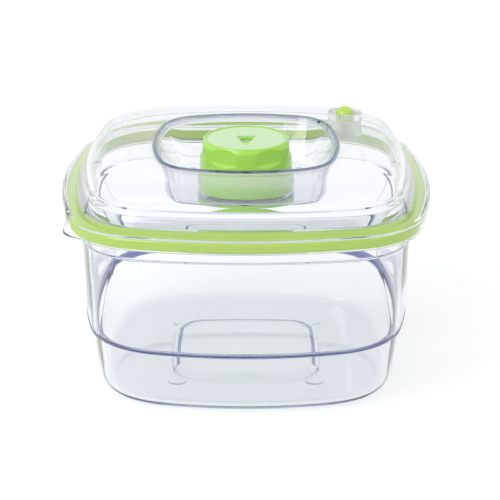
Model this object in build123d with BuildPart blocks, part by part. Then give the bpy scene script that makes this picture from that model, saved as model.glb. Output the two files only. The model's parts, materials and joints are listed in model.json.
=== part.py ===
from build123d import *
import math
import os

# Vacuum seal canister: a clear tub, a clear domed lid with a turning valve knob in its finger
# well, and a vacuum indicator button at the right rear corner of the dome.
# Origin: middle of the feet, on the table. +Z up, the front of the canister faces -Y.
# All lengths are in millimetres. A "half" is the reach from the middle to the middle of a side.

os.makedirs("parts", exist_ok=True)

# Shared fits
seat_gap = 0.3
running_gap = 0.05
same_body_gap = 0.02
overrun = 2.0
wall = 2.4
edge_round_share = 0.6

# Container
foot_height = 0.8
foot_radius = 5.0
foot_inset_x = 2.5
foot_inset_y = 0.5
base_round = 7.0
base_thickness = 2.6
base_corner_growth = 2.0
lower_taper = 3.2
ledge_z = 32.0
ledge_rise = 1.6
ledge_step = 2.8
ledge_corner_growth = 5.0
upper_taper = 1.5
panel_depth = 0.5
front_panel_top_half = 67.0
front_panel_bottom_half = 76.0
side_panel_half = 58.0
collar_half = 88.0
collar_corner = 36.0
collar_step = 0.9
collar_drop = 12.0
collar_rise = 1.0
side_bow = 4.6
rim_z = 96.0
rim_height = 1.8
rim_width = 2.4
punt_half_x = 38.5
punt_half_y = 41.0
punt_corner = 16.0
punt_rise = 2.0

# Lid
lid_overhang = 9.0
lid_corner_growth = 7.0
lid_bow_growth = 1.4
skirt_drop = 3.5
skirt_height = 6.4
skirt_draft = 0.4
skirt_wall = 1.9
edge_round_width = 1.6
edge_round_height = 1.5
flange_rise = 4.1
flange_width = 8.6
foot_corner_inset = 6.6
dome_side_inset = 4.8
dome_side_rise = 7.5
dome_shoulder_rise = 9.6
dome_square_power = 2.6
shoulder_shares = (0, 0.12, 0.24, 0.36, 0.5, 0.66, 0.82, 1)
dome_wall = 2.2
plug_wall = 1.8
plug_depth = 2.6
plug_root_rise = 2.0
crown_width = 10.0
well_corner = 25.0
well_bow = 4.0
well_rim_rise = 1.2
well_rim_width = 2.6
well_rim_round_share = 0.4
well_wall_inset = 11.0
well_depth = 20.8
finger_room = 13.4
well_floor_corner = 14.0
well_floor_bow = 2.4
well_floor_thickness = 2.5
tab_tip_inset_x = 2.4
tab_tip_inset_y = 32.0
tab_tip_round = 4.0
tab_side_start = 22.0
tab_front_start = 37.0
tab_top_inset = 6.0
tab_wall = 1.6

# Lid gasket
gasket_lip_lift = 0.4
gasket_groove_gap = 0.6

# Valve turret on the floor of the well
turret_wall = 2.0
rib_reach = 1.4
rib_width = 2.0
rib_count = 2
boss_ring_inset = 0.8
boss_ring_width = 2.4
boss_ring_height = 1.9
seat_hole_radius = 5.0
seat_ring_width = 1.6
seat_ring_height = 0.5
mark_reach = 3.4
mark_size = 1.6
mark_height = 0.35
middle_mark_angle = 5.0
floor_pip_reach = 2.7
floor_pip_y = 18.6
floor_pip_radius = 1.3

# Valve base under the floor of the well
valve_base_radius = 25.0
valve_base_height = 5.2
valve_base_wall = 1.8
base_gasket_thickness = 0.8
base_gasket_width = 4.0
screw_inset = 3.5
screw_radius = 1.2
screw_head_radius = 2.5
screw_head_height = 1.1
screw_count = 3
screw_boss_wall = 1.8
screw_depth = 5.5
screw_end_gap = 0.5
inlet_slot_length = 6.0
inlet_slot_width = 1.8
inlet_slot_radius = 9.5
inlet_slot_count = 8

# Turret cap
cap_gasket_thickness = 0.8
cap_flange_thickness = 1.4
cap_plug_depth = 1.6
oring_section_radius = 0.9

# Hose port in the knob
port_radius = 3.0
port_seal_wall = 1.2
port_seal_length = 6.0
port_mouth_growth = 0.6

# Spindle and cam
spindle_wall = 1.8
spindle_bore_radius = 2.4
spindle_collar_width = 1.4
spindle_collar_height = 1.0
spindle_nose_step = 0.6
pin_radius = 0.8
pin_rise = 1.3
pin_end_reach = 0.3
cam_rise = 1.5
knob_turn_angle = 40.0

# Valve plunger
plunger_disc_gap = 0.6
plunger_disc_thickness = 1.2
plunger_seal_overlap = 2.0
plunger_seal_thickness = 1.2
sleeve_wall = 1.6
sleeve_head = 3.3
sleeve_room = 0.8
slot_gap = 0.25
notch_gap = 0.3

# Valve spring
valve_spring_gap = 2.4
valve_spring_room = 2.7
valve_spring_wire = 0.6
valve_spring_turns = 4.5

# Knob
knob_grip_radius = 23.7
knob_top_draft = 0.7
knob_skirt_width = 1.9
knob_skirt_height = 6.5
knob_slope_height = 3.2
knob_wall = 2.0
knob_plate_thickness = 1.4
knob_edge_round = 1.0
knob_hub_wall = 3.0
knob_hub_height = 1.9
flat_rise = 1.0
flat_slope_height = 2.4
flat_slope_width = 2.0
flat_count = 6
flat_cut_radius = 30.0
flat_cut_depth = 1.7
disc_inset = 2.2
disc_thickness = 1.0
disc_recess = 0.4
pointer_half_width = 5.6
pointer_back = 4.6
pointer_front = 12.5
pointer_round = 1.2
knob_pointer_width = 1.6
knob_pointer_height = 2.2
knob_pointer_depth = 0.4

# Vacuum indicator
indicator_inset_x = 5.5
indicator_inset_y = 0.0
indicator_recess_radius = 8.8
indicator_recess_depth = 1.6
button_radius = 5.1
button_rise = 3.7
button_gap = 0.3
button_skirt_drop = 1.4
button_lip = 0.4
stem_radius = 1.8
stem_end = 0.8
housing_radius = 9.2
housing_wall = 1.5
housing_drop = 6.3
housing_height = 9.2
housing_hole_radius = 2.8
indicator_boss_radius = 9.6
indicator_gasket_thickness = 0.8
valve_disc_radius = 5.2
valve_disc_thickness = 1.2
clip_radius = 3.2
clip_thickness = 0.7
clip_groove_depth = 0.5
indicator_spring_radius = 3.7
indicator_spring_wire = 0.35
indicator_spring_turns = 3.0

# Reaches of the container, from its collar down to its base
below_collar_half = collar_half - collar_step
above_ledge_half = below_collar_half - upper_taper
below_ledge_half = above_ledge_half - ledge_step
base_half = below_ledge_half - lower_taper
ledge_corner = collar_corner + ledge_corner_growth
base_corner = collar_corner + base_corner_growth
collar_z = rim_z - collar_drop
foot_reach_x = punt_half_x - foot_inset_x
foot_reach_y = punt_half_y - foot_inset_y

# Radii of the valve, from the hose port outwards, and of the knob
port_seal_radius = port_radius + port_seal_wall
port_mouth_radius = port_radius + port_mouth_growth
spindle_radius = port_seal_radius + spindle_wall
spindle_nose_radius = spindle_radius - spindle_nose_step
spindle_collar_radius = spindle_radius + spindle_collar_width
sleeve_bore_radius = spindle_nose_radius + seat_gap
sleeve_radius = sleeve_bore_radius + sleeve_wall
pin_reach = sleeve_radius + pin_end_reach
valve_spring_radius = sleeve_radius + valve_spring_gap
turret_bore_radius = valve_spring_radius + valve_spring_wire + valve_spring_room
turret_radius = turret_bore_radius + turret_wall
rib_inner_radius = turret_bore_radius - rib_reach
plunger_disc_radius = turret_bore_radius - plunger_disc_gap
plunger_seal_radius = seat_hole_radius + seat_ring_width + plunger_seal_overlap
screw_circle_radius = valve_base_radius - base_gasket_width - screw_inset
screw_boss_radius = screw_radius + screw_boss_wall
knob_top_radius = knob_grip_radius - knob_top_draft
knob_skirt_radius = knob_grip_radius + knob_skirt_width
knob_hub_radius = spindle_radius + knob_hub_wall
disc_radius = knob_top_radius - disc_inset
boss_ring_outer = knob_skirt_radius - boss_ring_inset
boss_ring_inner = boss_ring_outer - boss_ring_width
mark_radius = knob_skirt_radius + mark_reach
floor_pip_x = knob_skirt_radius + floor_pip_reach

# Reaches of the lid: the well is sized for the knob and the fingers, the dome's shoulder fills the rest
well_floor_half = knob_skirt_radius + finger_room
well_half = well_floor_half + well_wall_inset
dome_top_half = well_half + crown_width
lid_half = collar_half + lid_overhang
lid_corner = collar_corner + lid_corner_growth
lid_bow = side_bow + lid_bow_growth
foot_line_half = lid_half - flange_width
foot_line_corner = lid_corner - foot_corner_inset
dome_side_half = foot_line_half - dome_side_inset
indicator_x = dome_top_half - indicator_inset_x
indicator_y = dome_top_half - indicator_inset_y

# Heights of the lid, from the container's rim upwards
skirt_bottom_z = rim_z - skirt_drop
gasket_lip_z = skirt_bottom_z + gasket_lip_lift
plug_bottom_z = rim_z - plug_depth
skirt_top_z = skirt_bottom_z + skirt_height
foot_line_z = skirt_top_z + flange_rise
plug_top_z = foot_line_z + plug_root_rise
dome_side_z = foot_line_z + dome_side_rise
dome_top_z = dome_side_z + dome_shoulder_rise
well_rim_z = dome_top_z + well_rim_rise
well_floor_z = well_rim_z - well_depth
well_under_z = well_floor_z - well_floor_thickness

# Heights of the valve, from its seat on the floor of the well up to the knob's top
base_gasket_z = well_under_z - base_gasket_thickness
valve_base_bottom_z = base_gasket_z - valve_base_height
rest_lift = cam_rise + seat_gap
plunger_seal_z = well_floor_z + seat_ring_height + rest_lift
plunger_disc_z = plunger_seal_z + plunger_seal_thickness
plunger_top_z = plunger_disc_z + plunger_disc_thickness
spindle_bottom_z = plunger_top_z + rest_lift
pin_z = spindle_bottom_z + pin_rise
sleeve_top_z = pin_z + sleeve_head
collar_top_z = sleeve_top_z + cam_rise + sleeve_room + spindle_collar_height
cap_bottom_z = collar_top_z + seat_gap
cap_z = cap_bottom_z + cap_plug_depth
cap_top_z = cap_z + cap_flange_thickness
turret_top_z = cap_z - cap_gasket_thickness
spindle_top_z = cap_top_z + seat_gap + knob_hub_height
plate_z = spindle_top_z + knob_plate_thickness
knob_top_z = plate_z + disc_thickness + disc_recess
knob_skirt_bottom_z = well_floor_z + boss_ring_height + seat_gap
knob_skirt_top_z = knob_skirt_bottom_z + knob_skirt_height
knob_grip_bottom_z = knob_skirt_top_z + knob_slope_height
flat_bottom_z = knob_grip_bottom_z + flat_rise

# Heights of the vacuum indicator, from the top of the dome downwards
indicator_recess_z = dome_top_z - indicator_recess_depth
housing_top_z = dome_top_z - housing_drop
housing_bottom_z = housing_top_z - housing_height
button_skirt_bottom_z = housing_top_z - button_skirt_drop
valve_disc_top_z = housing_bottom_z - seat_gap
clip_top_z = valve_disc_top_z - valve_disc_thickness
clip_bottom_z = clip_top_z - clip_thickness
stem_bottom_z = clip_bottom_z - stem_end
button_base_z = indicator_recess_z + button_lip
button_top_z = button_base_z + button_rise


class BowedSquare(BaseSketchObject):
    """Rounded square outline: four sides that bow outwards, joined by tangent corner arcs."""

    _applies_to = [BuildSketch._tag]

    def __init__(self, half, corner, bow, rotation=0, mode=Mode.ADD):
        straight = half - corner
        side_radius = (straight**2 + bow**2) / (2 * bow)
        side_centre = half - side_radius
        between = side_radius - corner
        root = math.sqrt(2 * between**2 - side_centre**2)
        corner_centre = (side_centre + root) / 2
        turn = math.atan2(corner_centre, corner_centre - side_centre)
        side_end = Vector(side_centre + side_radius * math.cos(turn), side_radius * math.sin(turn))
        side_start = Vector(side_end.X, -side_end.Y)
        corner_reach = corner_centre + corner * math.cos(math.radians(45))
        corner_middle = Vector(corner_reach, corner_reach)
        with BuildLine() as outline:
            for quarter in range(4):
                angle = 90 * quarter
                start = side_start.rotate(Axis.Z, angle)
                middle = Vector(half, 0).rotate(Axis.Z, angle)
                end = side_end.rotate(Axis.Z, angle)
                tip = corner_middle.rotate(Axis.Z, angle)
                after = side_start.rotate(Axis.Z, angle + 90)
                ThreePointArc(start, middle, end)
                ThreePointArc(end, tip, after)
        super().__init__(obj=Face(outline.wire()), rotation=rotation, align=None, mode=mode)


def blend(value, low, high, low_result, high_result):
    """Straight-line value between two known places."""
    return low_result + (value - low) / (high - low) * (high_result - low_result)


def dome_levels(offset):
    """Heights and outlines of the dome from its foot to its crown, offset inwards."""
    levels = [(foot_line_z - offset, foot_line_half - offset)]
    width = dome_side_half - dome_top_half - offset
    height = dome_top_z - dome_side_z - offset
    power = 2 / dome_square_power
    for share in shoulder_shares:
        turn = math.radians(90 * share)
        reach = dome_top_half + width * max(math.cos(turn), 0) ** power
        rise = dome_side_z + height * math.sin(turn) ** power
        levels.append((rise, reach))
    return levels


def dome_corner(half):
    """Corner radius of the dome at a given half."""
    return blend(half, well_half, foot_line_half, well_corner, foot_line_corner)


def dome_bow(half):
    """Side bow of the dome at a given half."""
    return blend(half, well_half, foot_line_half, well_bow, side_bow)


# Container: outside and inside, each lofted through its levels
base_z = foot_height
ledge_top_z = ledge_z + ledge_rise
lip_z = rim_z - rim_height
outside_levels = (
    (base_z, base_half, base_corner),
    (ledge_z, below_ledge_half, ledge_corner),
    (ledge_top_z, above_ledge_half, ledge_corner),
    (collar_z, below_collar_half, collar_corner),
    (collar_z + collar_rise, collar_half, collar_corner),
    (lip_z, collar_half, collar_corner),
)
floor_z = base_z + base_thickness
inside_levels = (
    (floor_z, base_half - wall, base_corner - wall),
    (ledge_z + wall / 2, below_ledge_half - wall, ledge_corner - wall),
    (ledge_top_z + wall / 2, above_ledge_half - wall, ledge_corner - wall),
    (collar_z, below_collar_half - wall, collar_corner - wall),
    (collar_z + collar_rise, collar_half - wall, collar_corner - wall),
    (rim_z + overrun, collar_half - wall, collar_corner - wall),
)
with BuildPart() as container_inside:
    for height, half, corner in inside_levels:
        with BuildSketch(Plane.XY.offset(height)):
            BowedSquare(half, corner, side_bow)
    loft(ruled=True)
    fillet(container_inside.faces().sort_by(Axis.Z)[0].edges(), base_round - wall)

panel_levels = (
    (ledge_top_z, above_ledge_half - panel_depth, ledge_corner),
    (collar_z, below_collar_half - panel_depth, collar_corner),
)
with BuildPart() as panel_core:
    for height, half, corner in panel_levels:
        with BuildSketch(Plane.XY.offset(height)):
            BowedSquare(half, corner, side_bow)
    loft(ruled=True)

front_panel_outline = (
    (-front_panel_bottom_half, ledge_top_z),
    (front_panel_bottom_half, ledge_top_z),
    (front_panel_top_half, collar_z),
    (-front_panel_top_half, collar_z),
)
with BuildPart() as panel_recess:
    with BuildSketch(Plane.XZ):
        with BuildLine():
            Polyline(*front_panel_outline, close=True)
        make_face()
    extrude(amount=lid_half, both=True)
    with BuildSketch(Plane.XY.offset(ledge_top_z)):
        Rectangle(2 * lid_half, 2 * side_panel_half)
    extrude(amount=collar_z - ledge_top_z)
    add(panel_core.part, mode=Mode.SUBTRACT)

with BuildPart() as container:
    for height, half, corner in outside_levels:
        with BuildSketch(Plane.XY.offset(height)):
            BowedSquare(half, corner, side_bow)
    loft(ruled=True)
    fillet(container.faces().sort_by(Axis.Z)[0].edges(), base_round)
    with BuildSketch(Plane.XY.offset(lip_z)):
        BowedSquare(collar_half + rim_width, collar_corner + rim_width, side_bow)
    extrude(amount=rim_height)
    add(panel_recess.part, mode=Mode.SUBTRACT)
    add(container_inside.part, mode=Mode.SUBTRACT)
    with BuildSketch(Plane.XY.offset(floor_z)):
        RectangleRounded(2 * punt_half_x, 2 * punt_half_y, punt_corner)
    extrude(amount=punt_rise)
    with BuildSketch(Plane.XY.offset(base_z)):
        RectangleRounded(
            2 * (punt_half_x - wall),
            2 * (punt_half_y - wall),
            punt_corner - wall,
        )
    extrude(amount=punt_rise, mode=Mode.SUBTRACT)
    with BuildSketch(Plane.XY):
        with GridLocations(2 * foot_reach_x, 2 * foot_reach_y, 2, 2):
            Circle(foot_radius)
    extrude(amount=foot_height)
container.part.label = "container"
export_step(container.part, "parts/container.step")

# Lid shell: skirt, sloped flange and dome outside, with the channel and the space under the dome
edge_top_z = skirt_top_z + edge_round_height
outer_lid_levels = [
    (skirt_bottom_z, lid_half - skirt_draft, lid_corner - skirt_draft, lid_bow),
    (skirt_top_z, lid_half, lid_corner, lid_bow),
]
for turn in (45, 90):
    inset = edge_round_width * (1 - math.cos(math.radians(turn)))
    rise = edge_round_height * math.sin(math.radians(turn))
    outer_lid_levels.append((skirt_top_z + rise, lid_half - inset, lid_corner - inset, lid_bow))
for height, half in dome_levels(0):
    outer_lid_levels.append((height, half, dome_corner(half), dome_bow(half)))

channel_half = lid_half - skirt_wall - skirt_draft
channel_corner = lid_corner - skirt_wall - skirt_draft
under_flange_z = edge_top_z - dome_wall
under_foot_half = foot_line_half - dome_wall
under_foot_z = foot_line_z - dome_wall
inner_lid_levels = [
    (skirt_bottom_z - overrun, channel_half, channel_corner, lid_bow),
    (under_flange_z, channel_half, channel_corner, lid_bow),
]
for height, half in dome_levels(dome_wall):
    inner_lid_levels.append((height, half, dome_corner(half), dome_bow(half)))
with BuildPart() as under_lid:
    for height, half, corner, bow in inner_lid_levels:
        with BuildSketch(Plane.XY.offset(height)):
            BowedSquare(half, corner, bow)
    loft(ruled=True)

well_outer_half = well_half + well_rim_width / 2
well_levels = (
    (well_under_z, well_floor_half + dome_wall, well_floor_corner + dome_wall, well_floor_bow),
    (well_rim_z, well_outer_half, well_corner + well_rim_width / 2, well_bow),
)
well_inner_half = well_half - well_rim_width / 2
well_inner_corner = well_corner - well_rim_width / 2
well_space_levels = (
    (well_floor_z, well_floor_half, well_floor_corner, well_floor_bow),
    (well_rim_z, well_inner_half, well_inner_corner, well_bow),
)
with BuildPart() as well_body:
    for height, half, corner, bow in well_levels:
        with BuildSketch(Plane.XY.offset(height)):
            BowedSquare(half, corner, bow)
    loft(ruled=True)
    fillet(well_body.faces().sort_by(Axis.Z)[-1].edges(), well_rim_width * well_rim_round_share)

with BuildPart() as well_space:
    for height, half, corner, bow in well_space_levels:
        with BuildSketch(Plane.XY.offset(height)):
            BowedSquare(half, corner, bow)
    loft(ruled=True)
    fillet(well_space.faces().sort_by(Axis.Z)[0].edges(), dome_wall)
    extrude(well_space.faces().sort_by(Axis.Z)[-1], amount=overrun)

mouth_half = collar_half - wall
mouth_corner = collar_corner - wall
with BuildPart() as plug_ring:
    with BuildSketch(Plane.XY.offset(plug_bottom_z)):
        BowedSquare(mouth_half - seat_gap, mouth_corner - seat_gap, side_bow)
        BowedSquare(
            mouth_half - seat_gap - plug_wall,
            mouth_corner - seat_gap - plug_wall,
            side_bow,
            mode=Mode.SUBTRACT,
        )
    extrude(amount=plug_top_z - plug_bottom_z)

tab_levels = ((0, 0), (skirt_height, tab_top_inset))
tab_tip_x = lid_half - tab_tip_inset_x
tab_tip_y = lid_half - tab_tip_inset_y
with BuildPart() as pull_tab:
    for drop, mode in ((0, Mode.ADD), (tab_wall, Mode.SUBTRACT)):
        for rise, inset in tab_levels:
            with BuildSketch(Plane.XY.offset(skirt_bottom_z + rise - drop)):
                with BuildLine():
                    FilletPolyline(
                        (drop - lid_half + lid_bow, -tab_side_start),
                        (drop + inset - tab_tip_x, drop + inset - tab_tip_y),
                        (drop - tab_front_start, drop + lid_bow - lid_half),
                        (-tab_side_start, -tab_side_start),
                        radius=tab_tip_round,
                        close=True,
                    )
                make_face()
        loft(ruled=True, mode=mode)

with BuildPart() as lid_shell:
    for height, half, corner, bow in outer_lid_levels:
        with BuildSketch(Plane.XY.offset(height)):
            BowedSquare(half, corner, bow)
    loft(ruled=True)
    add(pull_tab.part)
    add(under_lid.part, mode=Mode.SUBTRACT)
    add(plug_ring.part)
    with Locations((indicator_x, indicator_y, dome_top_z - dome_wall)):
        Cylinder(
            indicator_boss_radius,
            dome_top_z - dome_wall - housing_top_z - indicator_gasket_thickness,
            align=(Align.CENTER, Align.CENTER, Align.MAX),
        )
    add(well_body.part)
    add(well_space.part, mode=Mode.SUBTRACT)
    with BuildSketch(Plane.XY.offset(well_floor_z)):
        Circle(turret_radius)
        Circle(turret_bore_radius, mode=Mode.SUBTRACT)
    extrude(amount=turret_top_z - well_floor_z)
    with BuildSketch(Plane.XY.offset(well_floor_z)):
        with PolarLocations(rib_inner_radius, rib_count, start_angle=90):
            Rectangle(turret_radius - rib_inner_radius, rib_width, align=(Align.MIN, Align.CENTER))
    extrude(amount=cap_bottom_z - seat_gap - well_floor_z)
    with BuildSketch(Plane.XY.offset(well_floor_z)):
        Circle(boss_ring_outer)
        Circle(boss_ring_inner, mode=Mode.SUBTRACT)
    extrude(amount=boss_ring_height)
    with BuildSketch(Plane.XY.offset(well_floor_z)):
        Circle(seat_hole_radius + seat_ring_width)
    extrude(amount=seat_ring_height)
    with Locations((0, 0, well_floor_z + seat_ring_height)):
        Hole(seat_hole_radius, depth=well_floor_thickness + seat_ring_height)
    with BuildSketch(Plane.XY.offset(well_floor_z)):
        for mark_angle in (-knob_turn_angle, 0, knob_turn_angle):
            with PolarLocations(mark_radius, 1, start_angle=middle_mark_angle + mark_angle - 90):
                RegularPolygon(mark_size, 3, rotation=180)
        with GridLocations(2 * floor_pip_x, 0, 2, 1):
            with Locations((0, floor_pip_y)):
                Circle(floor_pip_radius)
    extrude(amount=mark_height)
    with BuildSketch(Plane.XY.offset(well_under_z)):
        with PolarLocations(screw_circle_radius, screw_count, start_angle=30):
            Circle(screw_boss_radius)
    extrude(amount=valve_base_bottom_z + valve_base_wall + seat_gap - well_under_z)
    with BuildSketch(Plane.XY.offset(valve_base_bottom_z)):
        with PolarLocations(screw_circle_radius, screw_count, start_angle=30):
            Circle(screw_radius + same_body_gap)
    extrude(amount=screw_depth + screw_end_gap, mode=Mode.SUBTRACT)
    with Locations((indicator_x, indicator_y, indicator_recess_z)):
        Cylinder(
            indicator_recess_radius,
            well_rim_z - indicator_recess_z,
            align=(Align.CENTER, Align.CENTER, Align.MIN),
            mode=Mode.SUBTRACT,
        )
        Cylinder(
            button_radius + button_gap,
            well_rim_z - housing_bottom_z,
            mode=Mode.SUBTRACT,
        )
lid_shell.part.label = "lid_shell"
export_step(lid_shell.part, "parts/lid_shell.step")

# Lid gasket: follows the underside of the flange, with a groove that the container's rim fills
gasket_inner_half = mouth_half
gasket_inner_corner = mouth_corner
gasket_levels = (
    (gasket_lip_z, channel_half - seat_gap, channel_corner - seat_gap, lid_bow),
    (under_flange_z - seat_gap, channel_half - seat_gap, channel_corner - seat_gap, lid_bow),
    (under_foot_z - seat_gap, under_foot_half - seat_gap, dome_corner(under_foot_half) - seat_gap, side_bow),
)
groove_half = collar_half + rim_width + gasket_groove_gap
groove_corner = collar_corner + rim_width + gasket_groove_gap
with BuildPart() as lid_gasket:
    for height, half, corner, bow in gasket_levels:
        with BuildSketch(Plane.XY.offset(height)):
            BowedSquare(half, corner, bow)
    loft(ruled=True)
    with BuildSketch(Plane.XY.offset(gasket_lip_z - overrun)):
        BowedSquare(gasket_inner_half, gasket_inner_corner, side_bow)
    extrude(amount=foot_line_z - gasket_lip_z + overrun, mode=Mode.SUBTRACT)
    with BuildSketch(Plane.XY.offset(gasket_lip_z - overrun)):
        BowedSquare(groove_half, groove_corner, side_bow)
    extrude(amount=rim_z + running_gap - gasket_lip_z + overrun, mode=Mode.SUBTRACT)
lid_gasket.part.label = "lid_gasket"
export_step(lid_gasket.part, "parts/lid_gasket.step")

# Turret cap: bearing cover on the valve turret, with a groove for the spindle's seal
bearing_radius = spindle_radius + running_gap
oring_z = (cap_bottom_z + cap_top_z) / 2
oring_centre_radius = bearing_radius + oring_section_radius
with BuildPart() as turret_cap:
    with BuildSketch(Plane.XZ):
        with BuildLine():
            Polyline(
                (bearing_radius, cap_bottom_z),
                (turret_bore_radius - running_gap, cap_bottom_z),
                (turret_bore_radius - running_gap, cap_z),
                (turret_radius, cap_z),
                (turret_radius, cap_top_z),
                (bearing_radius, cap_top_z),
                close=True,
            )
        make_face()
        with Locations((bearing_radius, oring_z)):
            Rectangle(
                2 * (2 * oring_section_radius + same_body_gap),
                2 * (oring_section_radius + same_body_gap),
                mode=Mode.SUBTRACT,
            )
    revolve(axis=Axis.Z)
turret_cap.part.label = "turret_cap"
export_step(turret_cap.part, "parts/turret_cap.step")

with BuildPart() as cap_gasket:
    with BuildSketch(Plane.XY.offset(turret_top_z)):
        Circle(turret_radius)
        Circle(turret_bore_radius, mode=Mode.SUBTRACT)
    extrude(amount=cap_gasket_thickness)
cap_gasket.part.label = "cap_gasket"
export_step(cap_gasket.part, "parts/cap_gasket.step")

with BuildPart() as spindle_oring:
    with Locations((0, 0, oring_z)):
        Torus(oring_centre_radius, oring_section_radius)
spindle_oring.part.label = "spindle_oring"
export_step(spindle_oring.part, "parts/spindle_oring.step")

# Valve base: cup with inlet slots, screwed up against the floor of the well
with BuildPart() as base_gasket:
    with BuildSketch(Plane.XY.offset(base_gasket_z)):
        Circle(valve_base_radius)
        Circle(valve_base_radius - base_gasket_width, mode=Mode.SUBTRACT)
    extrude(amount=base_gasket_thickness)
base_gasket.part.label = "base_gasket"
export_step(base_gasket.part, "parts/base_gasket.step")

with BuildPart() as valve_base:
    with BuildSketch(Plane.XY.offset(valve_base_bottom_z)):
        Circle(valve_base_radius)
    extrude(amount=valve_base_height)
    fillet(valve_base.edges().group_by(Axis.Z)[0], valve_base_wall * edge_round_share)
    with BuildSketch(Plane.XY.offset(valve_base_bottom_z + valve_base_wall)):
        Circle(valve_base_radius - valve_base_wall)
    extrude(amount=valve_base_height, mode=Mode.SUBTRACT)
    with BuildSketch(Plane.XY.offset(valve_base_bottom_z)):
        with PolarLocations(screw_circle_radius, screw_count, start_angle=30):
            Circle(screw_radius + running_gap)
        with PolarLocations(inlet_slot_radius, inlet_slot_count):
            SlotOverall(inlet_slot_length, inlet_slot_width)
    extrude(amount=valve_base_wall, mode=Mode.SUBTRACT)
valve_base.part.label = "valve_base"
export_step(valve_base.part, "parts/valve_base.step")

with BuildPart() as base_screws:
    with BuildSketch(Plane.XY.offset(valve_base_bottom_z)):
        with PolarLocations(screw_circle_radius, screw_count, start_angle=30):
            Circle(screw_head_radius)
    extrude(amount=-screw_head_height)
    fillet(base_screws.edges().group_by(Axis.Z)[0], screw_head_height * edge_round_share)
    with BuildSketch(Plane.XY.offset(valve_base_bottom_z)):
        with PolarLocations(screw_circle_radius, screw_count, start_angle=30):
            Circle(screw_radius)
    extrude(amount=screw_depth)
base_screws.part.label = "base_screws"
export_step(base_screws.part, "parts/base_screws.step")

# Spindle: hollow shaft with a collar under the cap, and a counterbore for the port seal
port_seal_bottom_z = spindle_top_z - port_seal_length
with BuildPart() as spindle:
    with BuildSketch(Plane.XZ):
        with BuildLine():
            Polyline(
                (spindle_bore_radius, spindle_bottom_z),
                (spindle_nose_radius, spindle_bottom_z),
                (spindle_nose_radius, collar_top_z - spindle_collar_height),
                (spindle_collar_radius, collar_top_z - spindle_collar_height),
                (spindle_collar_radius, collar_top_z),
                (spindle_radius, collar_top_z),
                (spindle_radius, spindle_top_z),
                (port_seal_radius + same_body_gap, spindle_top_z),
                (port_seal_radius + same_body_gap, port_seal_bottom_z),
                (spindle_bore_radius, port_seal_bottom_z),
                close=True,
            )
        make_face()
    revolve(axis=Axis.Z)
    with BuildSketch(Plane.YZ):
        with Locations((0, pin_z)):
            Circle(pin_radius + same_body_gap)
    extrude(amount=spindle_radius, both=True, mode=Mode.SUBTRACT)
spindle.part.label = "spindle"
export_step(spindle.part, "parts/spindle.step")

with BuildPart() as cam_pins:
    for side in (1, -1):
        with BuildSketch(Plane.YZ.offset(side * spindle_bore_radius)):
            with Locations((0, pin_z)):
                Circle(pin_radius)
        extrude(amount=side * (pin_reach - spindle_bore_radius))
cam_pins.part.label = "cam_pins"
export_step(cam_pins.part, "parts/cam_pins.step")

with BuildPart() as port_seal:
    with BuildSketch(Plane.XY.offset(port_seal_bottom_z)):
        Circle(port_seal_radius)
        Circle(port_radius, mode=Mode.SUBTRACT)
    extrude(amount=port_seal_length)
port_seal.part.label = "port_seal"
export_step(port_seal.part, "parts/port_seal.step")

# Valve plunger: keyed disc with a sleeve, whose two helical slots ride on the cam pins
cam_lead = cam_rise * 360 / knob_turn_angle
slot_end_angle = math.degrees((pin_radius + slot_gap) / sleeve_radius)
slot_angle = knob_turn_angle + slot_end_angle
slot_height = cam_lead * 2 * slot_angle / 360
slot_radius = (sleeve_radius + sleeve_bore_radius) / 2
with BuildPart() as cam_slot:
    with BuildLine() as slot_path:
        Helix(
            pitch=cam_lead,
            height=slot_height,
            radius=slot_radius,
            center=(0, 0, pin_z - slot_height / 2),
        )
    with BuildSketch(Plane(origin=slot_path.line @ 0, x_dir=(1, 0, 0), z_dir=slot_path.line % 0)):
        Rectangle(2 * sleeve_wall, 2 * (pin_radius + slot_gap))
    sweep(is_frenet=True)

with BuildPart() as valve_plunger:
    with BuildSketch(Plane.XY.offset(plunger_disc_z)):
        Circle(plunger_disc_radius)
        with PolarLocations(rib_inner_radius - notch_gap, rib_count, start_angle=90):
            Rectangle(
                turret_radius - rib_inner_radius,
                rib_width + 2 * notch_gap,
                align=(Align.MIN, Align.CENTER),
                mode=Mode.SUBTRACT,
            )
    extrude(amount=plunger_disc_thickness)
    with BuildSketch(Plane.XY.offset(plunger_top_z)):
        Circle(sleeve_radius)
        Circle(sleeve_bore_radius, mode=Mode.SUBTRACT)
    extrude(amount=sleeve_top_z - plunger_top_z)
    for slot_turn in (0, 180):
        add(cam_slot.part.rotate(Axis.Z, slot_turn - slot_angle), mode=Mode.SUBTRACT)
valve_plunger.part.label = "valve_plunger"
export_step(valve_plunger.part, "parts/valve_plunger.step")

with BuildPart() as plunger_seal:
    with BuildSketch(Plane.XY.offset(plunger_seal_z)):
        Circle(plunger_seal_radius)
    extrude(amount=plunger_seal_thickness)
plunger_seal.part.label = "plunger_seal"
export_step(plunger_seal.part, "parts/plunger_seal.step")

# Valve spring: coil between the plunger's disc and the cap
valve_spring_length = cap_bottom_z - plunger_top_z - 2 * valve_spring_wire
with BuildPart() as valve_spring:
    with BuildLine() as valve_spring_path:
        Helix(
            pitch=valve_spring_length / valve_spring_turns,
            height=valve_spring_length,
            radius=valve_spring_radius,
            center=(0, 0, plunger_top_z + valve_spring_wire),
        )
    with BuildSketch(
        Plane(
            origin=valve_spring_path.line @ 0,
            x_dir=(1, 0, 0),
            z_dir=valve_spring_path.line % 0,
        )
    ):
        Circle(valve_spring_wire)
    sweep(is_frenet=True)
valve_spring.part.label = "valve_spring"
export_step(valve_spring.part, "parts/valve_spring.step")

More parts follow.
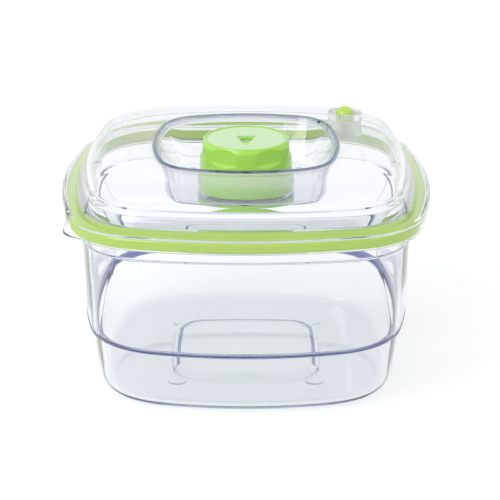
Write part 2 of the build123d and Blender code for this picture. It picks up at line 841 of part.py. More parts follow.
# Knob: revolved cap with six grip scallops, a skirt, a hub and a raised pointer on the skirt
with BuildPart() as knob:
    with BuildSketch(Plane.XZ):
        with BuildLine():
            Polyline(
                (0, knob_skirt_bottom_z),
                (knob_skirt_radius, knob_skirt_bottom_z),
                (knob_skirt_radius, knob_skirt_top_z),
                (knob_grip_radius, knob_grip_bottom_z),
                (knob_top_radius, knob_top_z),
                (0, knob_top_z),
                close=True,
            )
        make_face()
    revolve(axis=Axis.Z)
    fillet(knob.edges().sort_by(Axis.Z)[-1], knob_edge_round)
    cut_centre = knob_grip_radius - flat_cut_depth + flat_cut_radius
    with BuildSketch(Plane.XY.offset(flat_bottom_z)):
        with PolarLocations(cut_centre, flat_count):
            Circle(flat_cut_radius)
    extrude(amount=knob_top_z - knob_edge_round - disc_recess - flat_bottom_z, mode=Mode.SUBTRACT)
    with Locations((0, 0, flat_bottom_z)):
        with PolarLocations(cut_centre, flat_count):
            Cone(
                flat_cut_radius - flat_slope_width,
                flat_cut_radius,
                flat_slope_height,
                align=(Align.CENTER, Align.CENTER, Align.MAX),
                mode=Mode.SUBTRACT,
            )
    with BuildSketch(Plane.XZ):
        with BuildLine():
            Polyline(
                (knob_hub_radius, spindle_top_z),
                (knob_grip_radius - flat_cut_depth - knob_wall, spindle_top_z),
                (knob_grip_radius - flat_cut_depth - knob_wall, knob_grip_bottom_z - knob_wall),
                (knob_skirt_radius - knob_wall, knob_skirt_top_z - knob_wall),
                (knob_skirt_radius - knob_wall, knob_skirt_bottom_z - overrun),
                (0, knob_skirt_bottom_z - overrun),
                (0, cap_top_z + seat_gap),
                (knob_hub_radius, cap_top_z + seat_gap),
                close=True,
            )
        make_face()
    revolve(axis=Axis.Z, mode=Mode.SUBTRACT)
    with Locations((0, 0, spindle_top_z)):
        Hole(spindle_radius + same_body_gap, depth=spindle_top_z - cap_top_z)
    with BuildSketch(Plane.XY.offset(plate_z)):
        Circle(disc_radius + same_body_gap)
    extrude(amount=overrun, mode=Mode.SUBTRACT)
    with Locations((0, 0, plate_z)):
        Hole(port_mouth_radius, depth=knob_plate_thickness)
    with BuildSketch(Plane.XZ.offset(knob_skirt_radius - knob_wall / 2)):
        with Locations((0, (knob_skirt_bottom_z + knob_skirt_top_z) / 2)):
            Triangle(a=knob_pointer_width, b=knob_pointer_height, c=knob_pointer_height)
    extrude(amount=knob_wall / 2 + knob_pointer_depth)
knob.part.label = "knob"
export_step(knob.part, "parts/knob.step")

# Knob disc: inlay with a pointer-shaped window over the hose port
with BuildPart() as knob_disc:
    with BuildSketch(Plane.XY.offset(plate_z)):
        Circle(disc_radius)
    extrude(amount=disc_thickness)
    with BuildSketch(Plane.XY.offset(plate_z)):
        with BuildLine():
            Polyline(
                (-pointer_half_width, pointer_back),
                (pointer_half_width, pointer_back),
                (0, -pointer_front),
                close=True,
            )
        window = make_face()
        fillet(window.vertices(), pointer_round)
    extrude(amount=disc_thickness, mode=Mode.SUBTRACT)
knob_disc.part.label = "knob_disc"
export_step(knob_disc.part, "parts/knob_disc.step")

# Vacuum indicator: housing, seals, sprung button with its stem, valve disc and clip
indicator_plane = Plane.XY.move(Location((indicator_x, indicator_y, 0)))
with BuildPart() as indicator_gasket:
    with BuildSketch(indicator_plane.offset(housing_top_z)):
        Circle(housing_radius)
        Circle(housing_radius - housing_wall - indicator_gasket_thickness, mode=Mode.SUBTRACT)
    extrude(amount=indicator_gasket_thickness)
indicator_gasket.part.label = "indicator_gasket"
export_step(indicator_gasket.part, "parts/indicator_gasket.step")

with BuildPart() as indicator_housing:
    with BuildSketch(indicator_plane.offset(housing_bottom_z)):
        Circle(housing_radius)
    extrude(amount=housing_height)
    fillet(indicator_housing.edges().group_by(Axis.Z)[0], housing_wall * edge_round_share)
    with BuildSketch(indicator_plane.offset(housing_bottom_z + housing_wall)):
        Circle(housing_radius - housing_wall)
    extrude(amount=housing_height, mode=Mode.SUBTRACT)
    with BuildSketch(indicator_plane.offset(housing_bottom_z)):
        Circle(housing_hole_radius)
    extrude(amount=housing_wall, mode=Mode.SUBTRACT)
indicator_housing.part.label = "indicator_housing"
export_step(indicator_housing.part, "parts/indicator_housing.step")

with BuildPart() as indicator_button:
    with BuildSketch(Plane.XZ):
        with BuildLine():
            Polyline(
                (0, stem_bottom_z),
                (stem_radius, stem_bottom_z),
                (stem_radius, clip_bottom_z),
                (stem_radius - clip_groove_depth, clip_bottom_z),
                (stem_radius - clip_groove_depth, clip_top_z),
                (stem_radius, clip_top_z),
                (stem_radius, button_skirt_bottom_z),
                (button_radius, button_skirt_bottom_z),
                (button_radius, button_base_z),
            )
            dome_radius = (button_radius**2 + button_rise**2) / (2 * button_rise)
            half_turn = math.asin(button_radius / dome_radius) / 2
            ThreePointArc(
                (button_radius, button_base_z),
                (
                    dome_radius * math.sin(half_turn),
                    button_top_z - dome_radius * (1 - math.cos(half_turn)),
                ),
                (0, button_top_z),
            )
            Line((0, button_top_z), (0, stem_bottom_z))
        make_face()
    revolve(axis=Axis.Z)
indicator_button.part = indicator_button.part.moved(Location((indicator_x, indicator_y, 0)))
indicator_button.part.label = "indicator_button"
export_step(indicator_button.part, "parts/indicator_button.step")

with BuildPart() as indicator_valve_disc:
    with BuildSketch(indicator_plane.offset(clip_top_z)):
        Circle(valve_disc_radius)
        Circle(stem_radius + same_body_gap, mode=Mode.SUBTRACT)
    extrude(amount=valve_disc_thickness)
indicator_valve_disc.part.label = "indicator_valve_disc"
export_step(indicator_valve_disc.part, "parts/indicator_valve_disc.step")

with BuildPart() as indicator_clip:
    with BuildSketch(indicator_plane.offset(clip_bottom_z)):
        Circle(clip_radius)
        Circle(stem_radius - clip_groove_depth + same_body_gap, mode=Mode.SUBTRACT)
        Rectangle(
            clip_radius,
            2 * (stem_radius - clip_groove_depth),
            align=(Align.MIN, Align.CENTER),
            mode=Mode.SUBTRACT,
        )
    extrude(amount=clip_thickness)
indicator_clip.part.label = "indicator_clip"
export_step(indicator_clip.part, "parts/indicator_clip.step")

indicator_spring_z = housing_bottom_z + housing_wall + indicator_spring_wire
indicator_spring_length = button_skirt_bottom_z - indicator_spring_wire - indicator_spring_z
with BuildPart() as indicator_spring:
    with BuildLine() as indicator_spring_path:
        Helix(
            pitch=indicator_spring_length / indicator_spring_turns,
            height=indicator_spring_length,
            radius=indicator_spring_radius,
            center=(indicator_x, indicator_y, indicator_spring_z),
        )
    with BuildSketch(
        Plane(
            origin=indicator_spring_path.line @ 0,
            x_dir=(1, 0, 0),
            z_dir=indicator_spring_path.line % 0,
        )
    ):
        Circle(indicator_spring_wire)
    sweep(is_frenet=True)
indicator_spring.part.label = "indicator_spring"
export_step(indicator_spring.part, "parts/indicator_spring.step")
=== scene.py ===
import json
import math

import bmesh
import bpy
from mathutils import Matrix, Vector

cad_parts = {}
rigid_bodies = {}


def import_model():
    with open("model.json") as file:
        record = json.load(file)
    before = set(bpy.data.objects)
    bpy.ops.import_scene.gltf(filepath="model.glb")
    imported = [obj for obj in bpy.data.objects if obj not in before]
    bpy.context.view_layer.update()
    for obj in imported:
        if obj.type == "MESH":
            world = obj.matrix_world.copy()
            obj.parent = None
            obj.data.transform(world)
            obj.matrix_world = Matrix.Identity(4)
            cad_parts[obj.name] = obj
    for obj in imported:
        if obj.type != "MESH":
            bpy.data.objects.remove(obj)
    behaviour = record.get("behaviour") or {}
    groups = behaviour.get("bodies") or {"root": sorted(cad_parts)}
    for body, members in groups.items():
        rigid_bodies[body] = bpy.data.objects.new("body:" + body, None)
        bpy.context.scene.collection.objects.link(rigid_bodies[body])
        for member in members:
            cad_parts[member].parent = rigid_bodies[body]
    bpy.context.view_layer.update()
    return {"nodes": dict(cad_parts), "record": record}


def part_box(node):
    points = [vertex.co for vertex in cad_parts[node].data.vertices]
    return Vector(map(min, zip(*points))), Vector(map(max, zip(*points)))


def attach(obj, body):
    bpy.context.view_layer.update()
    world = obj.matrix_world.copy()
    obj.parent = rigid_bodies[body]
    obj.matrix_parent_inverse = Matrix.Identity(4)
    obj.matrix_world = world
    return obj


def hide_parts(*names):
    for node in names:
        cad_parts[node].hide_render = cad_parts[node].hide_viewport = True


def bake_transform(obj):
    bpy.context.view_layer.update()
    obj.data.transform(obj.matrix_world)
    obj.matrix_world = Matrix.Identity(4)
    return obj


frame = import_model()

bl_info = {
    "name": "Vacuum seal canister",
    "version": (1, 0, 0),
    "blender": (4, 5, 0),
    "location": "View3D > Sidebar > Canister",
    "description": "Builds the looks of a clear vacuum canister around its packed frame",
    "category": "Object",
}

MM = 0.001
TURN = 2 * math.pi
CATEGORY = "Canister"

# Steps along a side, round a corner, through a bend and round a small circle, how far off a bend its
# support levels are, and the least angle of a sharp edge
SIDE_STEPS = 40
CORNER_STEPS = 36
ROUND_STEPS = 5
CIRCLE_STEPS = 72
SUPPORT = 0.25
SHARP_ANGLE = 32
# How far a cutting tool reaches past what it cuts
PAST = 1.0
# Sides of round pegs: feet, bosses and screw heads, pips, slots and shanks
FOOT_SIDES, BOSS_SIDES, PIP_SIDES, SLOT_SIDES = 48, 40, 32, 24

# Clear tub, millimetres
BASE_HALF, BASE_CORNER, BASE_Z, BASE_ROUND = 79.6, 38.0, 0.8, 7.0
LEDGE_Z, LEDGE_TOP_Z, LEDGE_CORNER = 32.0, 33.6, 41.0
BELOW_LEDGE_HALF, ABOVE_LEDGE_HALF = 82.8, 85.6
COLLAR_Z, COLLAR_TOP_Z, COLLAR_CORNER = 84.0, 85.0, 36.0
BELOW_COLLAR_HALF, COLLAR_HALF = 87.1, 88.0
LIP_Z, RIM_Z, RIM_WIDTH = 94.2, 96.0, 2.4
TUB_WALL, TUB_BOW, FLOOR_Z = 2.4, 4.6, 3.4
PUNT_HALF, PUNT_CORNER, PUNT_STRETCH, PUNT_RISE, PUNT_SLOPE = 38.5, 16.0, 1.065, 2.0, 1.1
PUNT_BOW, PUNT_SOFT, PUNT_MARGIN, MARGIN_CORNER, MARGIN_BOW = 0.8, 1.2, 8.0, 18.0, 1.5
MIDDLE_HALF, MIDDLE_CORNER, MIDDLE_BOW = 4.0, 2.0, 0.1
FOOT_X, FOOT_Y, FOOT_RADIUS = 36.0, 40.5, 5.0
PANEL_DEPTH, PANEL_TOP, PANEL_BOTTOM, SIDE_PANEL = 0.3, 67.0, 76.0, 58.0

# Clear lid
LID_HALF, LID_CORNER, LID_BOW = 97.0, 43.0, 6.0
SKIRT_BOTTOM_Z, SKIRT_DRAFT, EDGE_TOP_Z, EDGE_WIDTH, EDGE_RISE = 92.5, 0.4, 100.4, 4.6, 0.5
EDGE_CORNER, EDGE_BOW, SKIRT_FROM = 39.0, 5.4, 93.7
CHANNEL_HALF, CHANNEL_CORNER, CHANNEL_Z = 94.7, 40.7, 98.2
FOOT_LINE_HALF, FOOT_LINE_CORNER, FOOT_LINE_Z = 88.4, 36.4, 103.0
FLARE_LEVELS, FLARE_OUT, FLARE_UP = 7, 0.12, 0.42
DOME_SIDE_HALF, DOME_SIDE_Z, CREASE = 83.6, 110.5, 0.7
DOME_TOP_HALF, DOME_TOP_Z, DOME_POWER, DOME_WALL, DOME_LEVELS = 60.0, 120.1, 2.6, 2.2, 14
WELL_HALF, WELL_CORNER, WELL_BOW, WELL_RIM_Z, WELL_RIM_WIDTH = 47.8, 22.0, 3.0, 121.3, 1.4
RIM_FOOT, RIM_FOOT_RISE, WELL_BACK_CORNER, WELL_BACK_Z = 0.5, 0.3, 23.0, 118.1
WELL_STRETCH, FLOOR_STRETCH = 1.055, 0.83
FLOOR_HALF, FLOOR_CORNER, FLOOR_BOW, WELL_FLOOR_Z, WELL_UNDER_Z = 39.0, 10.0, 4.5, 100.5, 98.0
FLOOR_EDGE, UNDER_EDGE, UNDER_ROUND = 4.0, 3.0, 9.0
PLUG_OUTER, PLUG_INNER, PLUG_CORNER, PLUG_BOTTOM_Z = 85.3, 83.5, 33.3, 93.4
PLUG_DRAFT, PLUG_ROOT_Z, PLUG_TOP_Z, PLUG_ROOT_CORNER, PLUG_INNER_CORNER = 0.6, 106.4, 101.0, 31.9, 31.5
BOSS_RING_OUTER, BOSS_RING_INNER, BOSS_RING_Z = 23.2, 20.8, 102.4
TURRET_RADIUS, TURRET_BORE, TURRET_TOP_Z = 15.0, 13.0, 116.0
SEAT_RADIUS, SEAT_HOLE, SEAT_Z = 6.6, 5.0, 101.0
TAB_ANGLE, TAB_REACH, TAB_SPREAD, TAB_FALL = math.radians(214.8), 4.2, math.radians(9.0), 1.2
INDICATOR_X, INDICATOR_Y = 54.5, 60.0
INDICATOR_BOSS, INDICATOR_BOSS_Z, INDICATOR_BOSS_SUNK, INDICATOR_HOLE = 9.6, 114.6, 1.2, 5.4
INDICATOR_RECESS, INDICATOR_RECESS_Z = 8.8, 118.5
MARK_RADIUS, MARK_SIZE, MARK_HEIGHT, MARK_MIDDLE, MARK_STEP = 29.0, 1.6, 0.35, 5.0, 40.0
PIP_REACH, PIP_ANGLE, PIP_RADIUS, SUNK = 33.9, 33.3, 1.3, 0.3
RIB_INNER, RIB_OUTER, RIB_WIDTH, RIB_TOP_Z = 11.6, 14.5, 2.0, 114.9
BOSS_COUNT, BOSS_CIRCLE, BOSS_RADIUS, BOSS_BOTTOM_Z, BOSS_ANGLE = 3, 17.5, 3.0, 94.1, 30.0
# Half the width of a four-sided peg whose radius is 1
SQUARE_PEG = math.sqrt(0.5)

# Gasket
GASKET_OUTER, GASKET_CORNER, GASKET_LIP_Z, GASKET_TOP_Z = 94.4, 40.4, 92.9, 97.9
GASKET_FOOT_HALF, GASKET_FOOT_CORNER, GASKET_FOOT_Z = 85.9, 33.9, 100.5
GASKET_INNER, GASKET_INNER_CORNER, GASKET_INNER_Z = 85.6, 33.6, 100.2
GROOVE_HALF, GROOVE_CORNER, GROOVE_Z = 91.0, 39.0, 96.05

# Knob, disc, valve base and button; DISC_MIDDLE is the innermost ring of a closed disc
KNOB_STEPS, KNOB_LEVEL_STEP, DISC_MIDDLE = 360, 0.35, 2.0
KNOB_FOOT, KNOB_BOTTOM_Z, KNOB_TOP, KNOB_TOP_Z = 24.4, 102.7, 23.7, 123.2
KNOB_WAIST_Z, SHOULDER_WIDTH, SHOULDER_HEIGHT = 109.5, 1.7, 2.2
KNOB_WALL, DISC_SEAT_RADIUS, DISC_SEAT_Z, PORT_MOUTH = 2.0, 20.85, 121.8, 3.6
HUB_RADIUS, HUB_BORE, HUB_BOTTOM_Z, HUB_TOP_Z = 9.0, 6.02, 118.5, 120.4
FLAT_COUNT, FLAT_RADIUS, FLAT_DEPTH, FLAT_BOTTOM_Z, FLAT_SLOPE, FLAT_SOFT = 6, 90.0, 1.65, 114.9, 2.1, 0.18
POINTER_WIDTH, POINTER_HEIGHT, POINTER_Z, POINTER_PROUD = 1.3, 1.4, 108.3, 0.3
WINDOW_HALF, WINDOW_BACK, WINDOW_FRONT, WINDOW_ROUND, WINDOW_STEPS = 5.3, 4.4, 14.8, 1.0, 8
DISC_RADIUS, DISC_TOP_Z = 20.83, 122.8
CUP_RADIUS, CUP_WALL, CUP_BOTTOM_Z, CUP_TOP_Z = 25.0, 1.8, 92.0, 97.2
SLOT_COUNT, SLOT_CIRCLE, SLOT_LENGTH, SLOT_WIDTH = 8, 9.5, 6.0, 1.8
HEAD_RADIUS, HEAD_HEIGHT, SHANK_RADIUS, SHANK_TOP_Z = 2.5, 1.1, 1.2, 97.0
RECESS_LONG, RECESS_SHORT, RECESS_DEPTH = 2.0, 0.45, 0.7
BUTTON_RADIUS, BUTTON_BASE_Z, BUTTON_RISE, BUTTON_SKIRT_Z = 5.1, 118.9, 3.7, 112.4
BUTTON_RINGS, BUTTON_EDGE, BUTTON_SUPPORT = 12, 0.2, 0.25
STEM_RADIUS, STEM_BOTTOM_Z, STEM_EDGE, STEM_TIP = 1.8, 101.6, 0.3, 0.05
CLIP_TOP_Z, CLIP_BOTTOM_Z, CLIP_GROOVE = 103.1, 102.4, 0.5

# Springs: piece, wire, body at the moving end, and whether that end is the lower one
SPRINGS = {
    "valve_spring": ("valve_coil", 1.2, "plunger", True),
    "indicator_spring": ("indicator_coil", 0.7, "indicator", False),
}
WELD = 1e-6
# Nodes that this script makes anew, beside the springs
REMADE = (
    "container", "lid_shell", "lid_gasket", "knob", "knob_disc", "valve_base", "base_screws",
    "indicator_button")

# Studio: size and place of each lamp, where they aim, how far the floor is below the feet, its glow for
# rays that see it and its colour, and the room's light and how it looks overhead
LAMPS = {"key": (1.1, (-1.1, -0.9, 1.5)), "fill": (1.4, (1.4, -0.5, 1.2))}
LAMP_AIM = (0, 0, 0.06)
FLOOR_DROP, FLOOR_GLOW, PAPER = 0.0001, 0.30, (0.9, 0.9, 0.9, 1)
SOFT_LIGHT, WHITE, CEILING = 0.68, (1, 1, 1, 1), (0.80, 0.82, 0.85, 1)
CEILING_FROM, CEILING_TO = 0.35, 0.85
BOUNCES, GLOSSY_BOUNCES = 48, 32
SENSOR_WIDTH, FARTHEST = 36, 100


# Sizes and colours that a user may change
COLOR = {"subtype": "COLOR", "size": 3, "min": 0, "max": 1}


class CanisterFinish(bpy.types.PropertyGroup):
    """Colours and surface finish of the canister."""

    clear_tint: bpy.props.FloatVectorProperty(
        name="Clear plastic tint", description="Colour that thick clear plastic takes",
        default=(0.50, 0.57, 0.80), **COLOR)
    # Painted shade: dark blue lines painted into the clear plastic's colour along the tub's ledge and the
    # well's rim, standing in for light that runs a long way inside the thick walls
    ledge_painted_shade: bpy.props.FloatVectorProperty(
        name="Ledge tint", description="Colour of the clear plastic along the tub's ledge",
        default=(0.03, 0.045, 0.25), **COLOR)
    rim_painted_shade: bpy.props.FloatVectorProperty(
        name="Rim tint", description="Colour of the clear plastic along the well's rim",
        default=(0.12, 0.18, 0.23), **COLOR)
    clear_density: bpy.props.FloatProperty(
        name="Tint density", description="How fast the tint gathers along a ray, per metre",
        default=9.0, min=0, soft_max=200)
    silicone: bpy.props.FloatVectorProperty(
        name="Gasket", description="Colour of the silicone gasket",
        default=(0.54, 0.80, 0.08), **COLOR)
    knob: bpy.props.FloatVectorProperty(
        name="Knob", description="Colour of the knob and the valve base",
        default=(0.40, 0.78, 0.09), **COLOR)
    button: bpy.props.FloatVectorProperty(
        name="Button", description="Colour of the vacuum indicator's button",
        default=(0.53, 0.80, 0.12), **COLOR)
    disc: bpy.props.FloatVectorProperty(
        name="Knob disc", description="Colour of the disc in the knob's top",
        default=(0.60, 0.86, 0.45), **COLOR)
    inner: bpy.props.FloatVectorProperty(
        name="Valve parts", description="Colour of the inner valve parts",
        default=(0.80, 0.82, 0.80), **COLOR)
    seal: bpy.props.FloatVectorProperty(
        name="Small seals", description="Colour of the small seals",
        default=(0.72, 0.75, 0.74), **COLOR)
    steel: bpy.props.FloatVectorProperty(
        name="Steel", description="Colour of the springs, pins and screws",
        default=(0.62, 0.62, 0.63), **COLOR)


class CanisterStage(bpy.types.PropertyGroup):
    """Camera, lights and floor."""

    eye: bpy.props.FloatVectorProperty(
        name="Camera place", description="Where the camera stands", subtype="XYZ", unit="LENGTH",
        size=3, default=(0.0, -1.1, 0.465))
    aim: bpy.props.FloatVectorProperty(
        name="Camera aim", description="Point that the camera looks at", subtype="XYZ", unit="LENGTH",
        size=3, default=(0.0, 0.0, 0.05))
    lens: bpy.props.FloatProperty(
        name="Lens", description="Focal length in millimetres", default=157.45, min=1)
    shift_x: bpy.props.FloatProperty(name="Shift X", description="Sideways lens shift", default=0.008)
    shift_y: bpy.props.FloatProperty(name="Shift Y", description="Upward lens shift", default=0.0353)
    key_power: bpy.props.FloatProperty(
        name="Key light", description="Power of the soft key light", subtype="POWER", default=14.0, min=0)
    fill_power: bpy.props.FloatProperty(
        name="Fill light", description="Power of the soft fill light", subtype="POWER", default=1.0, min=0)
    floor_size: bpy.props.FloatProperty(
        name="Floor", description="Width of the floor", subtype="DISTANCE", default=24.0, min=1)


# Clear plastic away from its edges, the shade it casts, and each height's share of the painted edge shade:
# dark lines painted at the tub's base and ledge and at the lid's skirt and well rim. The plastic's blue is
# real; its gathering into dark lines there is painted shade
CLEAR = (0.968, 0.975, 0.984)
CLEAR_LOW, CLEAR_HIGH, CLEAR_GRAIN, CLEAR_FLOW, CLEAR_BUMP, CLEAR_IOR = 0.0, 0.012, 300.0, 14.0, 0.02, 1.5
SHADE = (0.918, 0.929, 0.941, 1)
LID_HEIGHT = 123.2
# Painted edge shade: heights in millimetres and each one's share of the dark edge colour
PAINTED_EDGE_SHADE = {
    "tub": ((0, 0.1), (2.5, 0.1), (8.0, 0), (31.5, 0), (32.1, 1), (33.8, 1), (34.4, 0)),
    "lid": ((92.4, 0.3), (93.2, 0.04), (120.4, 0.04), (120.9, 1), (121.4, 1)),
}
# How fast a moulding's colour drifts over its surface, and how much of its bump is grain
DRIFT, STEEL_DRIFT, GRAIN_SHARE = 45.0, 90.0, 0.15
# The Mix node's two colours and its mixed colour, by number
MIX_FIRST, MIX_SECOND, MIX_RESULT = 6, 7, 2
# Inputs of the tree that sets out pegs, and their kinds
PEG_INPUTS = {
    "Count": "Int", "Reach X": "Float", "Reach Y": "Float", "First angle": "Float", "Step angle": "Float",
    "Sides": "Int", "Peg turn": "Float", "Along": "Float", "Across": "Float", "Bottom": "Float",
    "Height": "Float", "Material": "Material",
}


def finish():
    """Colours and finish of this scene."""
    return bpy.context.scene.canister_finish


# Rings, swept shells and cuts
def bowed_square(half, corner, bow):
    """Points round a rounded square whose sides bow outwards, anticlockwise."""
    straight = half - corner
    side = (straight ** 2 + bow ** 2) / (2 * bow)
    centre = half - side
    between = side - corner
    place = (centre + math.sqrt(2 * between ** 2 - centre ** 2)) / 2
    end = math.atan2(place, place - centre)
    points = []
    for quarter in range(4):
        turn = quarter * TURN / 4
        cosine, sine = math.cos(turn), math.sin(turn)
        ring = []
        for step in range(SIDE_STEPS):
            angle = end * (2 * step / SIDE_STEPS - 1)
            ring.append((centre + side * math.cos(angle), side * math.sin(angle)))
        for step in range(CORNER_STEPS):
            angle = end + (TURN / 4 - 2 * end) * step / CORNER_STEPS
            ring.append((place + corner * math.cos(angle), place + corner * math.sin(angle)))
        points += [(x * cosine - y * sine, x * sine + y * cosine) for x, y in ring]
    return points


RING_ANGLES = [math.atan2(y, x) for x, y in bowed_square(WELL_HALF, WELL_CORNER, WELL_BOW)]


def even_angles(steps):
    """Angles of equal steps round a whole turn."""
    return [TURN * step / steps for step in range(steps)]


def round_ring(radius, z, angles=RING_ANGLES, x=0.0, y=0.0):
    """Level circle round the point (x, y), at the given angles."""
    return [Vector((x + radius * math.cos(a), y + radius * math.sin(a), z)) for a in angles]


def along(start, end, reach):
    """Point a given distance from start towards end, at most halfway, for every value of a level."""
    length = math.hypot(end[0] - start[0], end[1] - start[1])
    share = min(reach / length, 0.5) if length else 0
    return tuple(a + (b - a) * share for a, b in zip(start, end))


def curve_point(t, start, bend, end):
    """Point at share t of a smooth bend from start to end, for every value of a level."""
    return tuple(
        (1 - t) ** 2 * a + 2 * t * (1 - t) * b + t ** 2 * c for a, b, c in zip(start, bend, end))


def rounded_levels(levels, closed):
    """Levels with their last value, the setback, turned into a smooth bend with support levels."""
    result = []
    count = len(levels)
    for index, level in enumerate(levels):
        here, setback = level[:-1], level[-1]
        inner = closed or 0 < index < count - 1
        before = levels[index - 1][:-1] if inner else None
        after = levels[(index + 1) % count][:-1] if inner else None
        if not setback or not inner or len(before) != len(here) or len(after) != len(here):
            result.append(here)
            continue
        result.append(along(here, before, setback + SUPPORT))
        start, end = along(here, before, setback), along(here, after, setback)
        for step in range(ROUND_STEPS + 1):
            result.append(curve_point(step / ROUND_STEPS, start, here, end))
        result.append(along(here, after, setback + SUPPORT))
    return result


def level_ring(level):
    """Ring of (radius, z), a circle, or (half, z, corner, bow) and maybe a stretch, a bowed square."""
    if len(level) == 2:
        return round_ring(*level)
    half, z, corner, bow, stretch = (*level, 1)[:5]
    return [Vector((x, y * stretch, z)) for x, y in bowed_square(half, corner, bow)]


def shell_mesh(name, rings, closed):
    """Mesh that joins rings in order. A closed loop of rings is a torus, else both ends get a centre."""
    count = len(rings[0])
    points = [point for ring in rings for point in ring]
    faces = []
    for index in range(len(rings) if closed else len(rings) - 1):
        low, high = index * count, (index + 1) % len(rings) * count
        for step in range(count):
            after = (step + 1) % count
            faces.append((low + step, low + after, high + after, high + step))
    if not closed:
        for start, order in ((0, -1), ((len(rings) - 1) * count, 1)):
            ring = range(start, start + count)
            centre = sum((points[i] for i in ring), Vector()) / count
            points.append(centre)
            for step in range(count):
                edge = (start + step, start + (step + 1) % count)
                faces.append(edge[::order] + (len(points) - 1,))
    mesh = bpy.data.meshes.new(name)
    mesh.from_pydata([point * MM for point in points], [], faces)
    mesh.validate()
    return mesh


def swept_mesh(name, levels, closed):
    """Mesh of the rings of rounded levels."""
    rings = [level_ring(level) for level in rounded_levels(levels, closed)]
    return shell_mesh(name, rings, closed)


def maths(operation, second=0.5):
    """Entry of a Math node for node_link, with the second value that it has where nothing is linked."""
    return "ShaderNodeMath", {1: second}, {"operation": operation}


def placed(name, data):
    """New object in the scene, at the origin."""
    thing = bpy.data.objects.new(name, data)
    bpy.context.scene.collection.objects.link(thing)
    return thing


def empty_tree(owner):
    """Node tree of a material or world, with nothing in it."""
    owner.use_nodes = True
    owner.node_tree.nodes.clear()
    return owner.node_tree


def node_link(tree, nodes, links):
    """Adds nodes {name: type or (type, {input: value}, {property: value})} and links to a tree.

    A link is (start, end, input, output). An input or output that is left out is the first one.
    """
    made = {}
    for name, entry in nodes.items():
        kind, values, properties = (entry, {}, {}) if isinstance(entry, str) else entry
        node = tree.nodes.new(kind)
        node.name = node.label = name
        for key, value in properties.items():
            setattr(node, key, value)
        for key, value in values.items():
            node.inputs[key].default_value = value
        made[name] = node
    for start, end, *sockets in links:
        socket, output = (*sockets, 0, 0)[:2]
        tree.links.new(made[start].outputs[output], made[end].inputs[socket])
    return made


def peg_tree():
    """Geometry Nodes tree: upright pegs set out round an ellipse, each turned to face the middle."""
    found = bpy.data.node_groups.get("pegs_round_a_middle")
    if found:
        return found
    tree = bpy.data.node_groups.new("pegs_round_a_middle", "GeometryNodeTree")
    tree.interface.new_socket("Geometry", in_out="INPUT", socket_type="NodeSocketGeometry")
    tree.interface.new_socket("Geometry", in_out="OUTPUT", socket_type="NodeSocketGeometry")
    for label, kind in PEG_INPUTS.items():
        tree.interface.new_socket(label, in_out="INPUT", socket_type="NodeSocket" + kind)
    node_link(tree, {
        "in": "NodeGroupInput",
        "out": "NodeGroupOutput",
        "index": "GeometryNodeInputIndex",
        "angle": maths("MULTIPLY_ADD"),
        "cosine": maths("COSINE"),
        "sine": maths("SINE"),
        "x": maths("MULTIPLY"),
        "y": maths("MULTIPLY"),
        "place": "ShaderNodeCombineXYZ",
        "turn": "ShaderNodeCombineXYZ",
        "size": ("ShaderNodeCombineXYZ", {2: 1.0}, {}),
        "points": "GeometryNodePoints",
        "peg": ("GeometryNodeMeshCylinder", {"Radius": 1.0}, {}),
        "own_turn": "ShaderNodeCombineXYZ",
        "half": maths("MULTIPLY"),
        "lift": "ShaderNodeCombineXYZ",
        "stand": "GeometryNodeTransform",
        "spread": "GeometryNodeInstanceOnPoints",
        "real": "GeometryNodeRealizeInstances",
        "finish": "GeometryNodeSetMaterial",
    }, [
        ("index", "angle"), ("in", "angle", 1, "Step angle"), ("in", "angle", 2, "First angle"),
        ("angle", "cosine"), ("angle", "sine"),
        ("cosine", "x"), ("in", "x", 1, "Reach X"),
        ("sine", "y"), ("in", "y", 1, "Reach Y"),
        ("x", "place", "X"), ("y", "place", "Y"), ("in", "place", "Z", "Bottom"),
        ("in", "points", "Count", "Count"), ("place", "points", "Position"),
        ("in", "peg", "Vertices", "Sides"), ("in", "peg", "Depth", "Height"),
        ("in", "half", 0, "Height"), ("half", "lift", "Z"), ("in", "own_turn", "Z", "Peg turn"),
        ("peg", "stand", "Geometry"), ("lift", "stand", "Translation"),
        ("own_turn", "stand", "Rotation"),
        ("points", "spread", "Points"), ("stand", "spread", "Instance"),
        ("angle", "turn", "Z"), ("turn", "spread", "Rotation"),
        ("in", "size", "X", "Along"), ("in", "size", "Y", "Across"), ("size", "spread", "Scale"),
        ("spread", "real", "Geometry"), ("real", "finish", "Geometry"),
        ("in", "finish", "Material", "Material"), ("finish", "out", "Geometry"),
    ])
    return tree


def pair(value):
    """The two values of a pair, or one number twice."""
    return value if isinstance(value, tuple) else (value, value)


def pegs_mesh(name, material, count, reach, sides, radius, bottom, top, first=0.0, step=0.0, turn=0.0):
    """Plain mesh of pegs from the tree, in millimetres and degrees.

    Reach is one number or X and Y, and radius is one number or along and across.
    """
    tree = peg_tree()
    reach, radius = pair(reach), pair(radius)
    holder = placed(name, bpy.data.meshes.new(name))
    modifier = holder.modifiers.new("pegs", "NODES")
    modifier.node_group = tree
    values = (
        count, reach[0] * MM, reach[1] * MM, math.radians(first), math.radians(step), sides,
        math.radians(turn), radius[0] * MM, radius[1] * MM, bottom * MM, (top - bottom) * MM, material)
    sockets = {item.name: item.identifier for item in tree.interface.items_tree if item.in_out == "INPUT"}
    for label, value in zip(PEG_INPUTS, values):
        modifier[sockets[label]] = value
    graph = bpy.context.evaluated_depsgraph_get()
    mesh = bpy.data.meshes.new_from_object(holder.evaluated_get(graph))
    holder.modifiers.clear()
    bpy.data.objects.remove(holder)
    mesh.name = name
    return mesh


